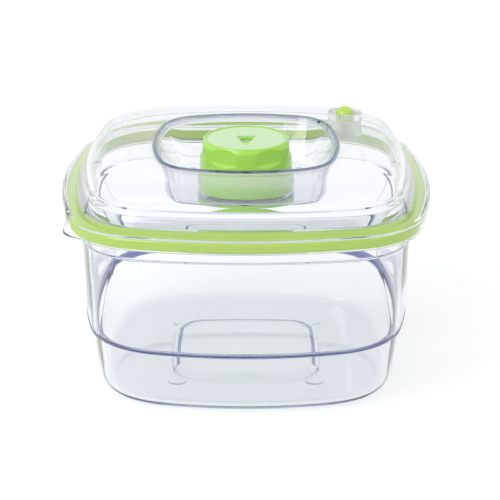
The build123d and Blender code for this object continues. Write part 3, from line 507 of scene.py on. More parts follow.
def dress(mesh, material):
    """Gives a mesh its one material, smooth faces and sharp edges."""
    mesh.materials.clear()
    mesh.materials.append(material)
    mesh.polygons.foreach_set("use_smooth", [True] * len(mesh.polygons))
    mesh.set_sharp_from_angle(angle=math.radians(SHARP_ANGLE))


def add_piece(name, mesh, body, slot, replaced=None, material=None):
    """Object of a finished mesh that rides on its body and stands for its node.

    It has its slot's finish unless it is given another.
    """
    piece = placed(name, mesh)
    dress(mesh, material or plain_material(slot))
    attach(piece, body)
    if replaced:
        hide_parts(replaced)


def drum_mesh(name, radius, bottom, top):
    """Closed upright cylinder on the indicator's axis."""
    angles = even_angles(CIRCLE_STEPS)
    rings = [round_ring(radius, z, angles, INDICATOR_X, INDICATOR_Y) for z in (bottom, top)]
    return shell_mesh(name, rings, False)


def cut_mesh(mesh, tools, operation):
    """Mesh joined with or cut by closed tool meshes, as a new mesh."""
    body = placed("cut_body", mesh)
    holder = bpy.data.collections.new("cut_tools")
    bpy.context.scene.collection.children.link(holder)
    for tool in tools:
        holder.objects.link(bpy.data.objects.new(tool.name, tool))
    modifier = body.modifiers.new("cut", "BOOLEAN")
    modifier.operation = operation
    modifier.operand_type = "COLLECTION"
    modifier.collection = holder
    modifier.solver = "MANIFOLD"
    graph = bpy.context.evaluated_depsgraph_get()
    result = bpy.data.meshes.new_from_object(body.evaluated_get(graph))
    result.name = mesh.name
    bpy.data.objects.remove(body)
    for piece in list(holder.objects):
        bpy.data.objects.remove(piece)
    bpy.data.collections.remove(holder)
    return result


# Materials
def moulded_surface():
    """Node group: slow flow waviness and fine satin of a moulded or pressed surface."""
    found = bpy.data.node_groups.get("moulded_surface")
    if found:
        return found
    group = bpy.data.node_groups.new("moulded_surface", "ShaderNodeTree")
    for label in ("Low", "High", "Grain", "Flow"):
        group.interface.new_socket(label, in_out="INPUT", socket_type="NodeSocketFloat")
    for label in ("Roughness", "Height"):
        group.interface.new_socket(label, in_out="OUTPUT", socket_type="NodeSocketFloat")
    node_link(group, {
        "in": "NodeGroupInput",
        "out": "NodeGroupOutput",
        "place": "ShaderNodeTexCoord",
        "grain": ("ShaderNodeTexNoise", {"Detail": 3.0, "Roughness": 0.6}, {}),
        "flow": ("ShaderNodeTexNoise", {"Detail": 1.0, "Roughness": 0.4}, {}),
        "range": ("ShaderNodeMapRange", {"From Min": 0.3, "From Max": 0.7}, {}),
        "mix": maths("MULTIPLY_ADD", GRAIN_SHARE),
    }, [
        ("place", "grain", "Vector", "Object"), ("place", "flow", "Vector", "Object"),
        ("in", "grain", "Scale", "Grain"), ("in", "flow", "Scale", "Flow"),
        ("grain", "range", "Value"), ("in", "range", "To Min", "Low"), ("in", "range", "To Max", "High"),
        ("range", "out", "Roughness"),
        ("grain", "mix"), ("flow", "mix", 2), ("mix", "out", "Height"),
    ])
    return group


def base_material(name, color, low, high, grain, flow, bump, **shader):
    """Principled material with the moulded surface's roughness and bump."""
    material = bpy.data.materials.new(name)
    made = node_link(empty_tree(material), {
        "surface": ("ShaderNodeGroup", {}, {"node_tree": moulded_surface()}),
        "shader": ("ShaderNodeBsdfPrincipled", {"Base Color": (*color, 1)}, {}),
        "bump": ("ShaderNodeBump", {"Strength": bump, "Distance": 0.0002}, {}),
        "output": "ShaderNodeOutputMaterial",
    }, [
        ("surface", "shader", "Roughness"), ("surface", "bump", "Height", "Height"),
        ("bump", "shader", "Normal"), ("shader", "output", "Surface"),
    ])
    for key, value in (("Low", low), ("High", high), ("Grain", grain), ("Flow", flow)):
        made["surface"].inputs[key].default_value = value
    for key, value in shader.items():
        made["shader"].inputs[key.replace("_", " ")].default_value = value
    return material, made


def shaded_color(material, made, color, shift, scale):
    """Lets the base colour drift slowly over the surface, as pigment does in a moulding."""
    tree = material.node_tree
    more = node_link(tree, {
        "where": "ShaderNodeTexCoord",
        "drift": ("ShaderNodeTexNoise", {"Scale": scale, "Detail": 2.0}, {}),
        "blend": ("ShaderNodeMix", {
            MIX_FIRST: (*color, 1), MIX_SECOND: (*[min(1, c * shift) for c in color], 1)},
            {"data_type": "RGBA"}),
    }, [("where", "drift", "Vector", "Object"), ("drift", "blend")])
    tree.links.new(more["blend"].outputs[MIX_RESULT], made["shader"].inputs["Base Color"])
    return material


def clear_plastic(piece):
    """Clear moulded plastic with dark violet lines painted along its edges by height: painted shade for the
    dark edges that thick clear walls show.
    """
    found = bpy.data.materials.get("moulded_clear_" + piece)
    if found:
        return found
    values = finish()
    material, made = base_material(
        "moulded_clear_" + piece, CLEAR, CLEAR_LOW, CLEAR_HIGH, CLEAR_GRAIN, CLEAR_FLOW, CLEAR_BUMP,
        Transmission_Weight=1.0, IOR=CLEAR_IOR)
    tree = material.node_tree
    more = node_link(tree, {
        "where": "ShaderNodeTexCoord",
        "axes": "ShaderNodeSeparateXYZ",
        "height": ("ShaderNodeMapRange", {"From Max": LID_HEIGHT * MM}, {}),
        # Painted edge shade, read from the height
        "edges": "ShaderNodeValToRGB",
        "path": "ShaderNodeLightPath",
        "soft": maths("MAXIMUM"),
        "pass": ("ShaderNodeBsdfTransparent", {"Color": SHADE}, {}),
        "choose": "ShaderNodeMixShader",
        "tint": ("ShaderNodeVolumeAbsorption", {
            "Color": (*values.clear_tint, 1), "Density": values.clear_density}, {}),
    }, [
        ("where", "axes", "Vector", "Object"), ("axes", "height", "Value", "Z"),
        ("height", "edges", "Fac"),
        ("path", "soft", 0, "Is Shadow Ray"), ("path", "soft", 1, "Is Diffuse Ray"),
        ("soft", "choose"), ("pass", "choose", 2),
    ])
    # Painted shade: the ramp blends the clear colour towards the ledge or rim painted shade colour at each
    # listed height
    ramp = more["edges"].color_ramp
    for _ in range(len(PAINTED_EDGE_SHADE[piece]) - 2):
        ramp.elements.new(0.5)
    edge = values.ledge_painted_shade if piece == "tub" else values.rim_painted_shade
    for element, (z, share) in zip(ramp.elements, PAINTED_EDGE_SHADE[piece]):
        element.position = z / LID_HEIGHT
        element.color = (*[a + (b - a) * share for a, b in zip(CLEAR, edge)], 1)
    tree.links.new(more["edges"].outputs["Color"], made["shader"].inputs["Base Color"])
    tree.links.new(made["shader"].outputs["BSDF"], more["choose"].inputs[1])
    tree.links.new(more["choose"].outputs["Shader"], made["output"].inputs["Surface"])
    tree.links.new(more["tint"].outputs[0], made["output"].inputs["Volume"])
    return material


def plain_material(name):
    """Opaque or translucent material of one finish, made once."""
    found = bpy.data.materials.get("moulded_" + name)
    if found:
        return found
    values = finish()
    # Colour, least and most roughness, grain, flow, bump, shift of colour, and the shader's other values
    recipes = {
        "lime_silicone": (values.silicone, 0.30, 0.42, 900.0, 30.0, 0.25, 1.12, dict(IOR=1.43)),
        "green_plastic": (values.knob, 0.16, 0.24, 700.0, 30.0, 0.15, 1.10, dict(Coat_Weight=0.25)),
        "pale_green_plastic": (values.disc, 0.20, 0.26, 900.0, 12.0, 0.04, 1.02, dict(Coat_Weight=0.2)),
        "button_plastic": (values.button, 0.16, 0.24, 700.0, 30.0, 0.12, 1.06, dict(Coat_Weight=0.25)),
        "pointer_plastic": ((0.80, 0.93, 0.72), 0.25, 0.35, 900.0, 30.0, 0.05, 1.02, {}),
        "green_translucent": ((0.95, 1.0, 0.95), 0.35, 0.45, 500.0, 30.0, 0.03, 1.02,
                              dict(Transmission_Weight=0.85, IOR=1.12)),
        "white_plastic": (values.inner, 0.35, 0.5, 800.0, 30.0, 0.2, 1.05, {}),
        "seal_silicone": (values.seal, 0.42, 0.55, 900.0, 30.0, 0.25, 1.05, {}),
        "steel": (values.steel, 0.18, 0.34, 1500.0, 60.0, 0.2, 1.1, dict(Metallic=1.0)),
    }
    color, low, high, grain, flow, bump, shift, extra = recipes[name]
    material, made = base_material("moulded_" + name, color, low, high, grain, flow, bump, **extra)
    return shaded_color(material, made, color, shift, STEEL_DRIFT if name == "steel" else DRIFT)


# The pieces
def blend_value(value, low, high, low_result, high_result):
    """Straight-line value between two places."""
    return low_result + (value - low) / (high - low) * (high_result - low_result)


def dome_level(half, z, setback=0.0):
    """Level of the dome with the corner and bow that its half gives it."""
    corner = blend_value(half, WELL_HALF, FOOT_LINE_HALF, WELL_CORNER, FOOT_LINE_CORNER)
    bow = blend_value(half, WELL_HALF, FOOT_LINE_HALF, WELL_BOW, TUB_BOW)
    stretch = blend_value(half, WELL_HALF, DOME_SIDE_HALF, WELL_STRETCH, 1)
    return (half, z, corner, bow, max(stretch, 1), setback)


def dome_shoulder(offset):
    """Levels from the side of the dome to its crown, offset inwards."""
    width = DOME_SIDE_HALF - DOME_TOP_HALF - offset
    height = DOME_TOP_Z - DOME_SIDE_Z - offset
    levels = []
    for step in range(DOME_LEVELS + 1):
        turn = TURN / 4 * step / DOME_LEVELS
        reach = DOME_TOP_HALF + width * max(math.cos(turn), 0) ** (2 / DOME_POWER)
        levels.append(dome_level(reach, DOME_SIDE_Z + height * math.sin(turn) ** (2 / DOME_POWER)))
    return levels


def flare(foot, side):
    """Levels of the concave flare between the foot line and the upright side, each given as (half, z)."""
    bend = (side[0] + FLARE_OUT * (foot[0] - side[0]), foot[1] + FLARE_UP * (side[1] - foot[1]))
    steps = range(1, FLARE_LEVELS)
    return [dome_level(*curve_point(step / FLARE_LEVELS, foot, bend, side)) for step in steps]


def lid_levels():
    """Closed loop of levels: up the outside, over the dome, into the well and back underneath.

    A level is (half, z, corner, bow, stretch, setback), or (radius, z, setback) where it is round.
    """
    wall = DOME_WALL
    stretch = WELL_STRETCH
    rim = WELL_RIM_WIDTH / 2
    floor = (FLOOR_CORNER, FLOOR_BOW, FLOOR_STRETCH)
    crease = (DOME_SIDE_HALF + CREASE, DOME_SIDE_Z - CREASE)
    outside = [
        (LID_HALF - SKIRT_DRAFT, SKIRT_BOTTOM_Z, LID_CORNER - SKIRT_DRAFT, LID_BOW, 1, 0.4),
        (LID_HALF, EDGE_TOP_Z, LID_CORNER, LID_BOW, 1, 1.8),
        (LID_HALF - EDGE_WIDTH, EDGE_TOP_Z + EDGE_RISE, EDGE_CORNER, EDGE_BOW, 1, 2.2),
        (FOOT_LINE_HALF, FOOT_LINE_Z, FOOT_LINE_CORNER, TUB_BOW, 1, 0.25),
        *flare((FOOT_LINE_HALF, FOOT_LINE_Z), crease),
        dome_level(*crease, 0.2),
        *dome_shoulder(0),
    ]
    well = [
        (WELL_HALF + rim + RIM_FOOT, DOME_TOP_Z + RIM_FOOT_RISE, WELL_CORNER + rim, WELL_BOW, stretch, 0.4),
        (WELL_HALF + rim, WELL_RIM_Z, WELL_CORNER + rim, WELL_BOW, stretch, 0.7),
        (WELL_HALF - rim, WELL_RIM_Z, WELL_CORNER - rim, WELL_BOW, stretch, 0.7),
        (FLOOR_HALF, WELL_FLOOR_Z, *floor, 1.8),
        (FLOOR_HALF - FLOOR_EDGE, WELL_FLOOR_Z, *floor, 0),
        (BOSS_RING_OUTER, WELL_FLOOR_Z, 0), (BOSS_RING_OUTER, BOSS_RING_Z, 0.3),
        (BOSS_RING_INNER, BOSS_RING_Z, 0.3), (BOSS_RING_INNER, WELL_FLOOR_Z, 0.3),
        (TURRET_RADIUS, WELL_FLOOR_Z, 0.4), (TURRET_RADIUS, TURRET_TOP_Z, 0.3),
        (TURRET_BORE, TURRET_TOP_Z, 0.3), (TURRET_BORE, WELL_FLOOR_Z, 0.4),
        (SEAT_RADIUS, WELL_FLOOR_Z, 0.2), (SEAT_RADIUS, SEAT_Z, 0.2),
        (SEAT_HOLE, SEAT_Z, 0.2), (SEAT_HOLE, WELL_UNDER_Z, 0),
        (FLOOR_HALF - UNDER_ROUND, WELL_UNDER_Z, 0),
    ]
    under = [
        (FLOOR_HALF - UNDER_EDGE, WELL_UNDER_Z, *floor, 0),
        (FLOOR_HALF + wall, WELL_UNDER_Z, FLOOR_CORNER + wall, FLOOR_BOW, FLOOR_STRETCH, 2.6),
        (WELL_HALF, WELL_BACK_Z, WELL_BACK_CORNER, WELL_BOW, stretch, 1.4),
        *dome_shoulder(wall)[::-1],
        (PLUG_INNER - PLUG_DRAFT, PLUG_ROOT_Z, PLUG_ROOT_CORNER, TUB_BOW, 1, 0.6),
        (PLUG_INNER, PLUG_BOTTOM_Z, PLUG_INNER_CORNER, TUB_BOW, 1, 0.5),
        (PLUG_OUTER, PLUG_BOTTOM_Z, PLUG_CORNER, TUB_BOW, 1, 0.5),
        (PLUG_OUTER, PLUG_TOP_Z, PLUG_CORNER, TUB_BOW, 1, 0.3),
        (CHANNEL_HALF, CHANNEL_Z, CHANNEL_CORNER, LID_BOW, 1, 1.2),
        (CHANNEL_HALF, SKIRT_BOTTOM_Z, CHANNEL_CORNER, LID_BOW, 1, 0.3),
    ]
    return outside + well + under


def with_pull_tab(ring):
    """Ring of the skirt pushed out into the pull tab near one corner."""
    z = ring[0].z
    fall = min(max((EDGE_TOP_Z - z) / (EDGE_TOP_Z - SKIRT_BOTTOM_Z), 0), 1)
    if fall <= 0:
        return ring
    result = []
    for point in ring:
        turn = (math.atan2(point.y, point.x) - TAB_ANGLE + math.pi) % TURN - math.pi
        share = max(1 - abs(turn) / TAB_SPREAD, 0)
        share = share * share * (3 - 2 * share)
        reach = math.hypot(point.x, point.y)
        push = 1 + TAB_REACH * share * fall ** TAB_FALL / reach if reach > WELL_HALF else 1
        result.append(Vector((point.x * push, point.y * push, z)))
    return result


def lid_mesh():
    """Clear lid shell as one closed mesh."""
    rings = []
    for level in rounded_levels(lid_levels(), True):
        ring = level_ring(level)
        skirt = len(level) > 2 and level[0] > SKIRT_FROM
        rings.append(with_pull_tab(ring) if skirt else ring)
    mesh = shell_mesh("lid_shell_clear", rings, True)
    clear = clear_plastic("lid")
    marked = (WELL_FLOOR_Z - SUNK, WELL_FLOOR_Z + MARK_HEIGHT)
    rib = ((RIB_OUTER - RIB_INNER) / 2 / SQUARE_PEG, RIB_WIDTH / 2 / SQUARE_PEG)
    added = [
        drum_mesh("indicator_boss", INDICATOR_BOSS, INDICATOR_BOSS_Z, DOME_TOP_Z - INDICATOR_BOSS_SUNK),
        pegs_mesh("floor_marks", clear, 3, MARK_RADIUS, 3, MARK_SIZE, *marked,
                  first=MARK_MIDDLE - MARK_STEP - 90, step=MARK_STEP),
        pegs_mesh("floor_pips", clear, 2, PIP_REACH, PIP_SIDES, PIP_RADIUS, *marked,
                  first=PIP_ANGLE, step=180 - 2 * PIP_ANGLE),
        pegs_mesh("turret_ribs", clear, 2, (RIB_INNER + RIB_OUTER) / 2, 4, rib,
                  WELL_FLOOR_Z - SUNK, RIB_TOP_Z, first=90, step=180, turn=45),
        pegs_mesh("screw_bosses", clear, BOSS_COUNT, BOSS_CIRCLE, BOSS_SIDES, BOSS_RADIUS,
                  BOSS_BOTTOM_Z, WELL_UNDER_Z + SUNK, first=BOSS_ANGLE, step=360 / BOSS_COUNT),
    ]
    mesh = cut_mesh(mesh, added, "UNION")
    removed = [
        drum_mesh("indicator_recess", INDICATOR_RECESS, INDICATOR_RECESS_Z, WELL_RIM_Z + PAST),
        drum_mesh("indicator_hole", INDICATOR_HOLE, INDICATOR_BOSS_Z - PAST, INDICATOR_RECESS_Z + PAST),
    ]
    return cut_mesh(mesh, removed, "DIFFERENCE")


def panel_mesh():
    """What the four shallow side panels take away: two crossing blocks less the tub that stays."""
    front, side = [], []
    for reach in (LID_HALF, -LID_HALF):
        front.append([Vector((x, reach, z)) for x, z in (
            (PANEL_BOTTOM, LEDGE_TOP_Z), (PANEL_TOP, COLLAR_Z),
            (-PANEL_TOP, COLLAR_Z), (-PANEL_BOTTOM, LEDGE_TOP_Z))])
        side.append([Vector((-reach, y, z)) for y, z in (
            (-SIDE_PANEL, LEDGE_TOP_Z), (SIDE_PANEL, LEDGE_TOP_Z),
            (SIDE_PANEL, COLLAR_Z), (-SIDE_PANEL, COLLAR_Z))])
    kept = [
        level_ring((ABOVE_LEDGE_HALF - PANEL_DEPTH, LEDGE_TOP_Z - PAST, LEDGE_CORNER, TUB_BOW)),
        level_ring((BELOW_COLLAR_HALF - PANEL_DEPTH, COLLAR_Z + PAST, COLLAR_CORNER, TUB_BOW)),
    ]
    block = cut_mesh(shell_mesh("panels", front, False), [shell_mesh("side_panels", side, False)], "UNION")
    return cut_mesh(block, [shell_mesh("kept_core", kept, False)], "DIFFERENCE")


def tub_mesh():
    """Clear tub as one closed mesh, from the middle of the underside round to the middle of the floor."""
    wall = TUB_WALL
    inner_corner = COLLAR_CORNER - wall
    # Corner, bow, stretch and setback: middle of the base, raised square below and above, and round it
    middle = (MIDDLE_CORNER, MIDDLE_BOW, PUNT_STRETCH, 0)
    below = (PUNT_CORNER - wall, PUNT_BOW, PUNT_STRETCH, PUNT_SOFT)
    above = (PUNT_CORNER, PUNT_BOW, PUNT_STRETCH, PUNT_SOFT)
    margin = (MARGIN_CORNER, MARGIN_BOW, PUNT_STRETCH, 0)
    # Half, height, corner and setback of the sides, up the outside and down the inside
    sides = (
        (BASE_HALF, BASE_Z, BASE_CORNER, BASE_ROUND),
        (BELOW_LEDGE_HALF, LEDGE_Z, LEDGE_CORNER, 0.4),
        (ABOVE_LEDGE_HALF, LEDGE_TOP_Z, LEDGE_CORNER, 0.4),
        (BELOW_COLLAR_HALF, COLLAR_Z, COLLAR_CORNER, 0.65),
        (COLLAR_HALF, COLLAR_TOP_Z, COLLAR_CORNER, 0.65),
        (COLLAR_HALF, LIP_Z, COLLAR_CORNER, 0.3),
        (COLLAR_HALF + RIM_WIDTH, LIP_Z, COLLAR_CORNER + RIM_WIDTH, 0.3),
        (COLLAR_HALF + RIM_WIDTH, RIM_Z, COLLAR_CORNER + RIM_WIDTH, 0.5),
        (COLLAR_HALF - wall, RIM_Z, inner_corner, 0.6),
        (COLLAR_HALF - wall, COLLAR_TOP_Z, inner_corner, 0.35),
        (BELOW_COLLAR_HALF - wall, COLLAR_Z, inner_corner, 0.35),
        (ABOVE_LEDGE_HALF - wall, LEDGE_TOP_Z + wall / 2, LEDGE_CORNER - wall, 0.4),
        (BELOW_LEDGE_HALF - wall, LEDGE_Z + wall / 2, LEDGE_CORNER - wall, 0.4),
        (BASE_HALF - wall, FLOOR_Z, BASE_CORNER - wall, BASE_ROUND - wall),
    )
    levels = [
        (MIDDLE_HALF, BASE_Z + PUNT_RISE, *middle),
        (PUNT_HALF - wall - PUNT_SLOPE, BASE_Z + PUNT_RISE, *below),
        (PUNT_HALF - wall + PUNT_SLOPE, BASE_Z, *below),
        (PUNT_HALF + PUNT_MARGIN, BASE_Z, *margin),
        *((half, z, corner, TUB_BOW, 1, setback) for half, z, corner, setback in sides),
        (PUNT_HALF + PUNT_MARGIN, FLOOR_Z, *margin),
        (PUNT_HALF + PUNT_SLOPE, FLOOR_Z, *above),
        (PUNT_HALF - PUNT_SLOPE, FLOOR_Z + PUNT_RISE, *above),
        (MIDDLE_HALF, FLOOR_Z + PUNT_RISE, *middle),
    ]
    corner = math.sqrt(2)
    feet = pegs_mesh("feet", clear_plastic("tub"), 4, (FOOT_X * corner, FOOT_Y * corner), FOOT_SIDES,
                     FOOT_RADIUS, 0, BASE_Z + SUNK, first=45, step=90)
    mesh = cut_mesh(swept_mesh("container_clear", levels, False), [feet], "UNION")
    return cut_mesh(mesh, [panel_mesh()], "DIFFERENCE")


def gasket_mesh():
    """Silicone ring with the groove that the tub's rim fills, of levels with no stretch."""
    levels = [
        (GASKET_OUTER, GASKET_LIP_Z, GASKET_CORNER, LID_BOW, 0.9),
        (GASKET_OUTER, GASKET_TOP_Z, GASKET_CORNER, LID_BOW, 1.2),
        (GASKET_FOOT_HALF, GASKET_FOOT_Z, GASKET_FOOT_CORNER, TUB_BOW, 0.3),
        (GASKET_INNER, GASKET_INNER_Z, GASKET_INNER_CORNER, TUB_BOW, 0),
        (GASKET_INNER, GROOVE_Z, GASKET_INNER_CORNER, TUB_BOW, 0.4),
        (GROOVE_HALF, GROOVE_Z, GROOVE_CORNER, TUB_BOW, 0.5),
        (GROOVE_HALF, GASKET_LIP_Z, GROOVE_CORNER, TUB_BOW, 0.9),
    ]
    return swept_mesh("lid_gasket_ring", levels, True)


def knob_side(z):
    """Radius of the knob's side: upright below its waist and conical above."""
    return blend_value(max(z, KNOB_WAIST_Z), KNOB_WAIST_Z, KNOB_TOP_Z, KNOB_FOOT, KNOB_TOP)


def grip_reach(angle, z, reach):
    """Radius of the knob's outside where a grip flat cuts it."""
    if z < FLAT_BOTTOM_Z - FLAT_SLOPE or reach < DISC_SEAT_RADIUS + FLAT_SOFT:
        return reach
    step = TURN / FLAT_COUNT
    turn = (angle + step / 2) % step - step / 2
    centre = knob_side(FLAT_BOTTOM_Z) - FLAT_DEPTH + FLAT_RADIUS
    radius = FLAT_RADIUS - max(FLAT_BOTTOM_Z - z, 0)
    inside = radius ** 2 - (centre * math.sin(turn)) ** 2
    if inside <= 0:
        return reach
    cut = centre * math.cos(turn) - math.sqrt(inside)
    gap = max(FLAT_SOFT - abs(reach - cut), 0) / FLAT_SOFT
    return min(reach, cut) - gap * gap * FLAT_SOFT / 4


def denser(rows, step):
    """Levels of the knob's side with no two further apart in height than one step."""
    result = []
    for first, second in zip(rows, rows[1:]):
        count = max(1, int(abs(second[1] - first[1]) / step))
        for index in range(count):
            share = index / count
            result.append(tuple(a + (b - a) * share for a, b in zip(first, second)))
    return result + [rows[-1]]


def knob_mesh():
    """Knob: slightly conical grip with six flats, recess for the disc, hub and hollow underside."""
    angles = even_angles(KNOB_STEPS)
    shoulder = KNOB_TOP_Z - SHOULDER_HEIGHT
    hollow = knob_side(FLAT_BOTTOM_Z) - FLAT_DEPTH - KNOB_WALL
    side = rounded_levels([
        (KNOB_FOOT - KNOB_WALL, KNOB_BOTTOM_Z, 0), (KNOB_FOOT, KNOB_BOTTOM_Z, 0.3),
        (KNOB_FOOT, KNOB_WAIST_Z, 1.5), (knob_side(shoulder), shoulder, 0.9),
        (KNOB_TOP - SHOULDER_WIDTH, KNOB_TOP_Z, 0.3),
        (DISC_SEAT_RADIUS, KNOB_TOP_Z, 0.2), (DISC_SEAT_RADIUS, DISC_SEAT_Z, 0),
    ], False)
    inner = [
        (PORT_MOUTH, DISC_SEAT_Z), (PORT_MOUTH, HUB_TOP_Z), (HUB_BORE, HUB_TOP_Z), (HUB_BORE, HUB_BOTTOM_Z),
        (HUB_RADIUS, HUB_BOTTOM_Z), (HUB_RADIUS, HUB_TOP_Z), (hollow, HUB_TOP_Z),
        (hollow, FLAT_BOTTOM_Z - FLAT_SLOPE), (KNOB_FOOT - KNOB_WALL, FLAT_BOTTOM_Z - 2 * FLAT_SLOPE),
    ]
    rings = []
    for radius, z in denser(side, KNOB_LEVEL_STEP):
        rings.append([
            Vector((math.cos(a), math.sin(a), 0)) * grip_reach(a, z, radius) + Vector((0, 0, z))
            for a in angles])
    rings += [round_ring(radius, z, angles) for radius, z in inner]
    return shell_mesh("knob_body", rings, True)


def pointer_mesh():
    """Raised pointer on the front of the knob's side, pointing down at the marks."""
    low, high = POINTER_Z - POINTER_HEIGHT / 2, POINTER_Z + POINTER_HEIGHT / 2
    rings = []
    for y in (POINTER_PROUD, -KNOB_WALL / 2):
        front = -knob_side(POINTER_Z) - y
        rings.append([
            Vector((-POINTER_WIDTH / 2, front, high)), Vector((0, front, low)),
            Vector((POINTER_WIDTH / 2, front, high))])
    return shell_mesh("knob_pointer", rings, False)


def rounded_triangle(corners, radius):
    """Points round a triangle, anticlockwise, with its corners rounded."""
    points = []
    for index, corner in enumerate(corners):
        here = Vector(corner)
        before = (Vector(corners[index - 1]) - here).normalized()
        after = (Vector(corners[(index + 1) % 3]) - here).normalized()
        half = before.angle(after) / 2
        centre = here + (before + after).normalized() * radius / math.sin(half)
        start, end = here + before * radius / math.tan(half), here + after * radius / math.tan(half)
        first = math.atan2(start.y - centre.y, start.x - centre.x)
        sweep = (math.atan2(end.y - centre.y, end.x - centre.x) - first) % TURN
        for step in range(WINDOW_STEPS + 1):
            angle = first + sweep * step / WINDOW_STEPS
            points.append((centre.x + radius * math.cos(angle), centre.y + radius * math.sin(angle)))
    return points


def disc_inlay_mesh():
    """Disc let into the knob's top, with a pointer-shaped window over the hose port."""
    disc = swept_mesh("disc_inlay", [
        (DISC_MIDDLE, DISC_SEAT_Z, 0), (DISC_RADIUS, DISC_SEAT_Z, 0.1),
        (DISC_RADIUS, DISC_TOP_Z, 0.25), (DISC_MIDDLE, DISC_TOP_Z, 0),
    ], False)
    outline = rounded_triangle(
        [(-WINDOW_HALF, WINDOW_BACK), (0, -WINDOW_FRONT), (WINDOW_HALF, WINDOW_BACK)], WINDOW_ROUND)
    window = shell_mesh("window", [
        [Vector((x, y, z)) for x, y in outline] for z in (DISC_SEAT_Z - PAST, DISC_TOP_Z + PAST)], False)
    return cut_mesh(disc, [window], "DIFFERENCE")


def base_cup_mesh():
    """Cup of the valve base with its ring of inlet slots."""
    floor = CUP_BOTTOM_Z + CUP_WALL
    cup = swept_mesh("base_cup", [
        (DISC_MIDDLE, CUP_BOTTOM_Z, 0), (CUP_RADIUS, CUP_BOTTOM_Z, 0.9), (CUP_RADIUS, CUP_TOP_Z, 0.2),
        (CUP_RADIUS - CUP_WALL, CUP_TOP_Z, 0.2), (CUP_RADIUS - CUP_WALL, floor, 0.8),
        (DISC_MIDDLE, floor, 0),
    ], False)
    slots = pegs_mesh(
        "inlet_slots", plain_material("green_plastic"), SLOT_COUNT, SLOT_CIRCLE, SLOT_SIDES,
        (SLOT_LENGTH / 2, SLOT_WIDTH / 2), CUP_BOTTOM_Z - PAST, floor + PAST, step=360 / SLOT_COUNT)
    return cut_mesh(cup, [slots], "DIFFERENCE")


def screws_mesh():
    """Three pan-head screws with cross recesses, one mesh."""
    steel = plain_material("steel")
    each = (steel, BOSS_COUNT, BOSS_CIRCLE)
    spacing = dict(first=BOSS_ANGLE, step=360 / BOSS_COUNT)
    head_z = CUP_BOTTOM_Z - HEAD_HEIGHT
    recess_z = (head_z - PAST, head_z + RECESS_DEPTH)
    heads = pegs_mesh("screws", *each, BOSS_SIDES, HEAD_RADIUS, head_z, CUP_BOTTOM_Z, **spacing)
    shank_z = CUP_BOTTOM_Z - SUNK
    shanks = pegs_mesh("shanks", *each, SLOT_SIDES, SHANK_RADIUS, shank_z, SHANK_TOP_Z, **spacing)
    screws = cut_mesh(heads, [shanks], "UNION")
    for arms in ((RECESS_LONG, RECESS_SHORT), (RECESS_SHORT, RECESS_LONG)):
        recess = pegs_mesh("recess", *each, 4, arms, *recess_z, turn=45, **spacing)
        screws = cut_mesh(screws, [recess], "DIFFERENCE")
    return screws


def button_mesh():
    """Sprung button with its domed head and grooved stem."""
    angles = even_angles(CIRCLE_STEPS)
    radius = (BUTTON_RADIUS ** 2 + BUTTON_RISE ** 2) / (2 * BUTTON_RISE)
    levels = [
        (STEM_TIP, STEM_BOTTOM_Z), (STEM_RADIUS - STEM_EDGE, STEM_BOTTOM_Z),
        (STEM_RADIUS, STEM_BOTTOM_Z + STEM_EDGE), (STEM_RADIUS, CLIP_BOTTOM_Z),
        (STEM_RADIUS - CLIP_GROOVE, CLIP_BOTTOM_Z), (STEM_RADIUS - CLIP_GROOVE, CLIP_TOP_Z),
        (STEM_RADIUS, CLIP_TOP_Z), (STEM_RADIUS, BUTTON_SKIRT_Z),
        (BUTTON_RADIUS - BUTTON_EDGE, BUTTON_SKIRT_Z), (BUTTON_RADIUS, BUTTON_SKIRT_Z + BUTTON_EDGE),
        (BUTTON_RADIUS, BUTTON_BASE_Z - BUTTON_SUPPORT), (BUTTON_RADIUS, BUTTON_BASE_Z),
    ]
    last = math.asin(BUTTON_RADIUS / radius)
    top = BUTTON_BASE_Z + BUTTON_RISE
    for step in range(1, BUTTON_RINGS + 1):
        angle = last * (1 - step / (BUTTON_RINGS + 0.5))
        levels.append((radius * math.sin(angle), top - radius * (1 - math.cos(angle))))
    rings = [round_ring(*level, angles, INDICATOR_X, INDICATOR_Y) for level in levels]
    return shell_mesh("button_body", rings, False)


def coil_mesh(node, name):
    """Copy of a spring's mesh with its loose triangles joined."""
    mesh = frame["nodes"][node].data.copy()
    mesh.name = name
    coil = bmesh.new()
    coil.from_mesh(mesh)
    bmesh.ops.remove_doubles(coil, verts=coil.verts, dist=WELD)
    coil.to_mesh(mesh)
    coil.free()
    return mesh


# What a ray sees of the studio directly, in a gloss or through clear plastic
SEEN_NODES = {
    "path": "ShaderNodeLightPath",
    "seen": maths("MAXIMUM"),
    "any": maths("MAXIMUM"),
}
SEEN_LINKS = [
    ("path", "seen", 0, "Is Camera Ray"), ("path", "seen", 1, "Is Glossy Ray"),
    ("seen", "any"), ("path", "any", 1, "Is Transmission Ray"),
]


def turned_to(place, aim):
    """Turn of a lamp or camera that looks from its place at its aim."""
    return (Vector(aim) - Vector(place)).to_track_quat("-Z", "Y").to_euler()


# One operator for each piece, for the finishes and for the stage
class CANISTER_OT_container(bpy.types.Operator):
    """Builds the clear tub"""

    bl_idname = "canister.container"
    bl_label = "Clear tub"

    def execute(self, context):
        clear = clear_plastic("tub")
        add_piece("container_clear", tub_mesh(), "container", "clear_plastic", "container", clear)
        return {"FINISHED"}


class CANISTER_OT_lid(bpy.types.Operator):
    """Builds the clear domed lid with its finger well"""

    bl_idname = "canister.lid"
    bl_label = "Clear lid"

    def execute(self, context):
        clear = clear_plastic("lid")
        add_piece("lid_shell_clear", lid_mesh(), "lid", "clear_plastic", "lid_shell", clear)
        return {"FINISHED"}


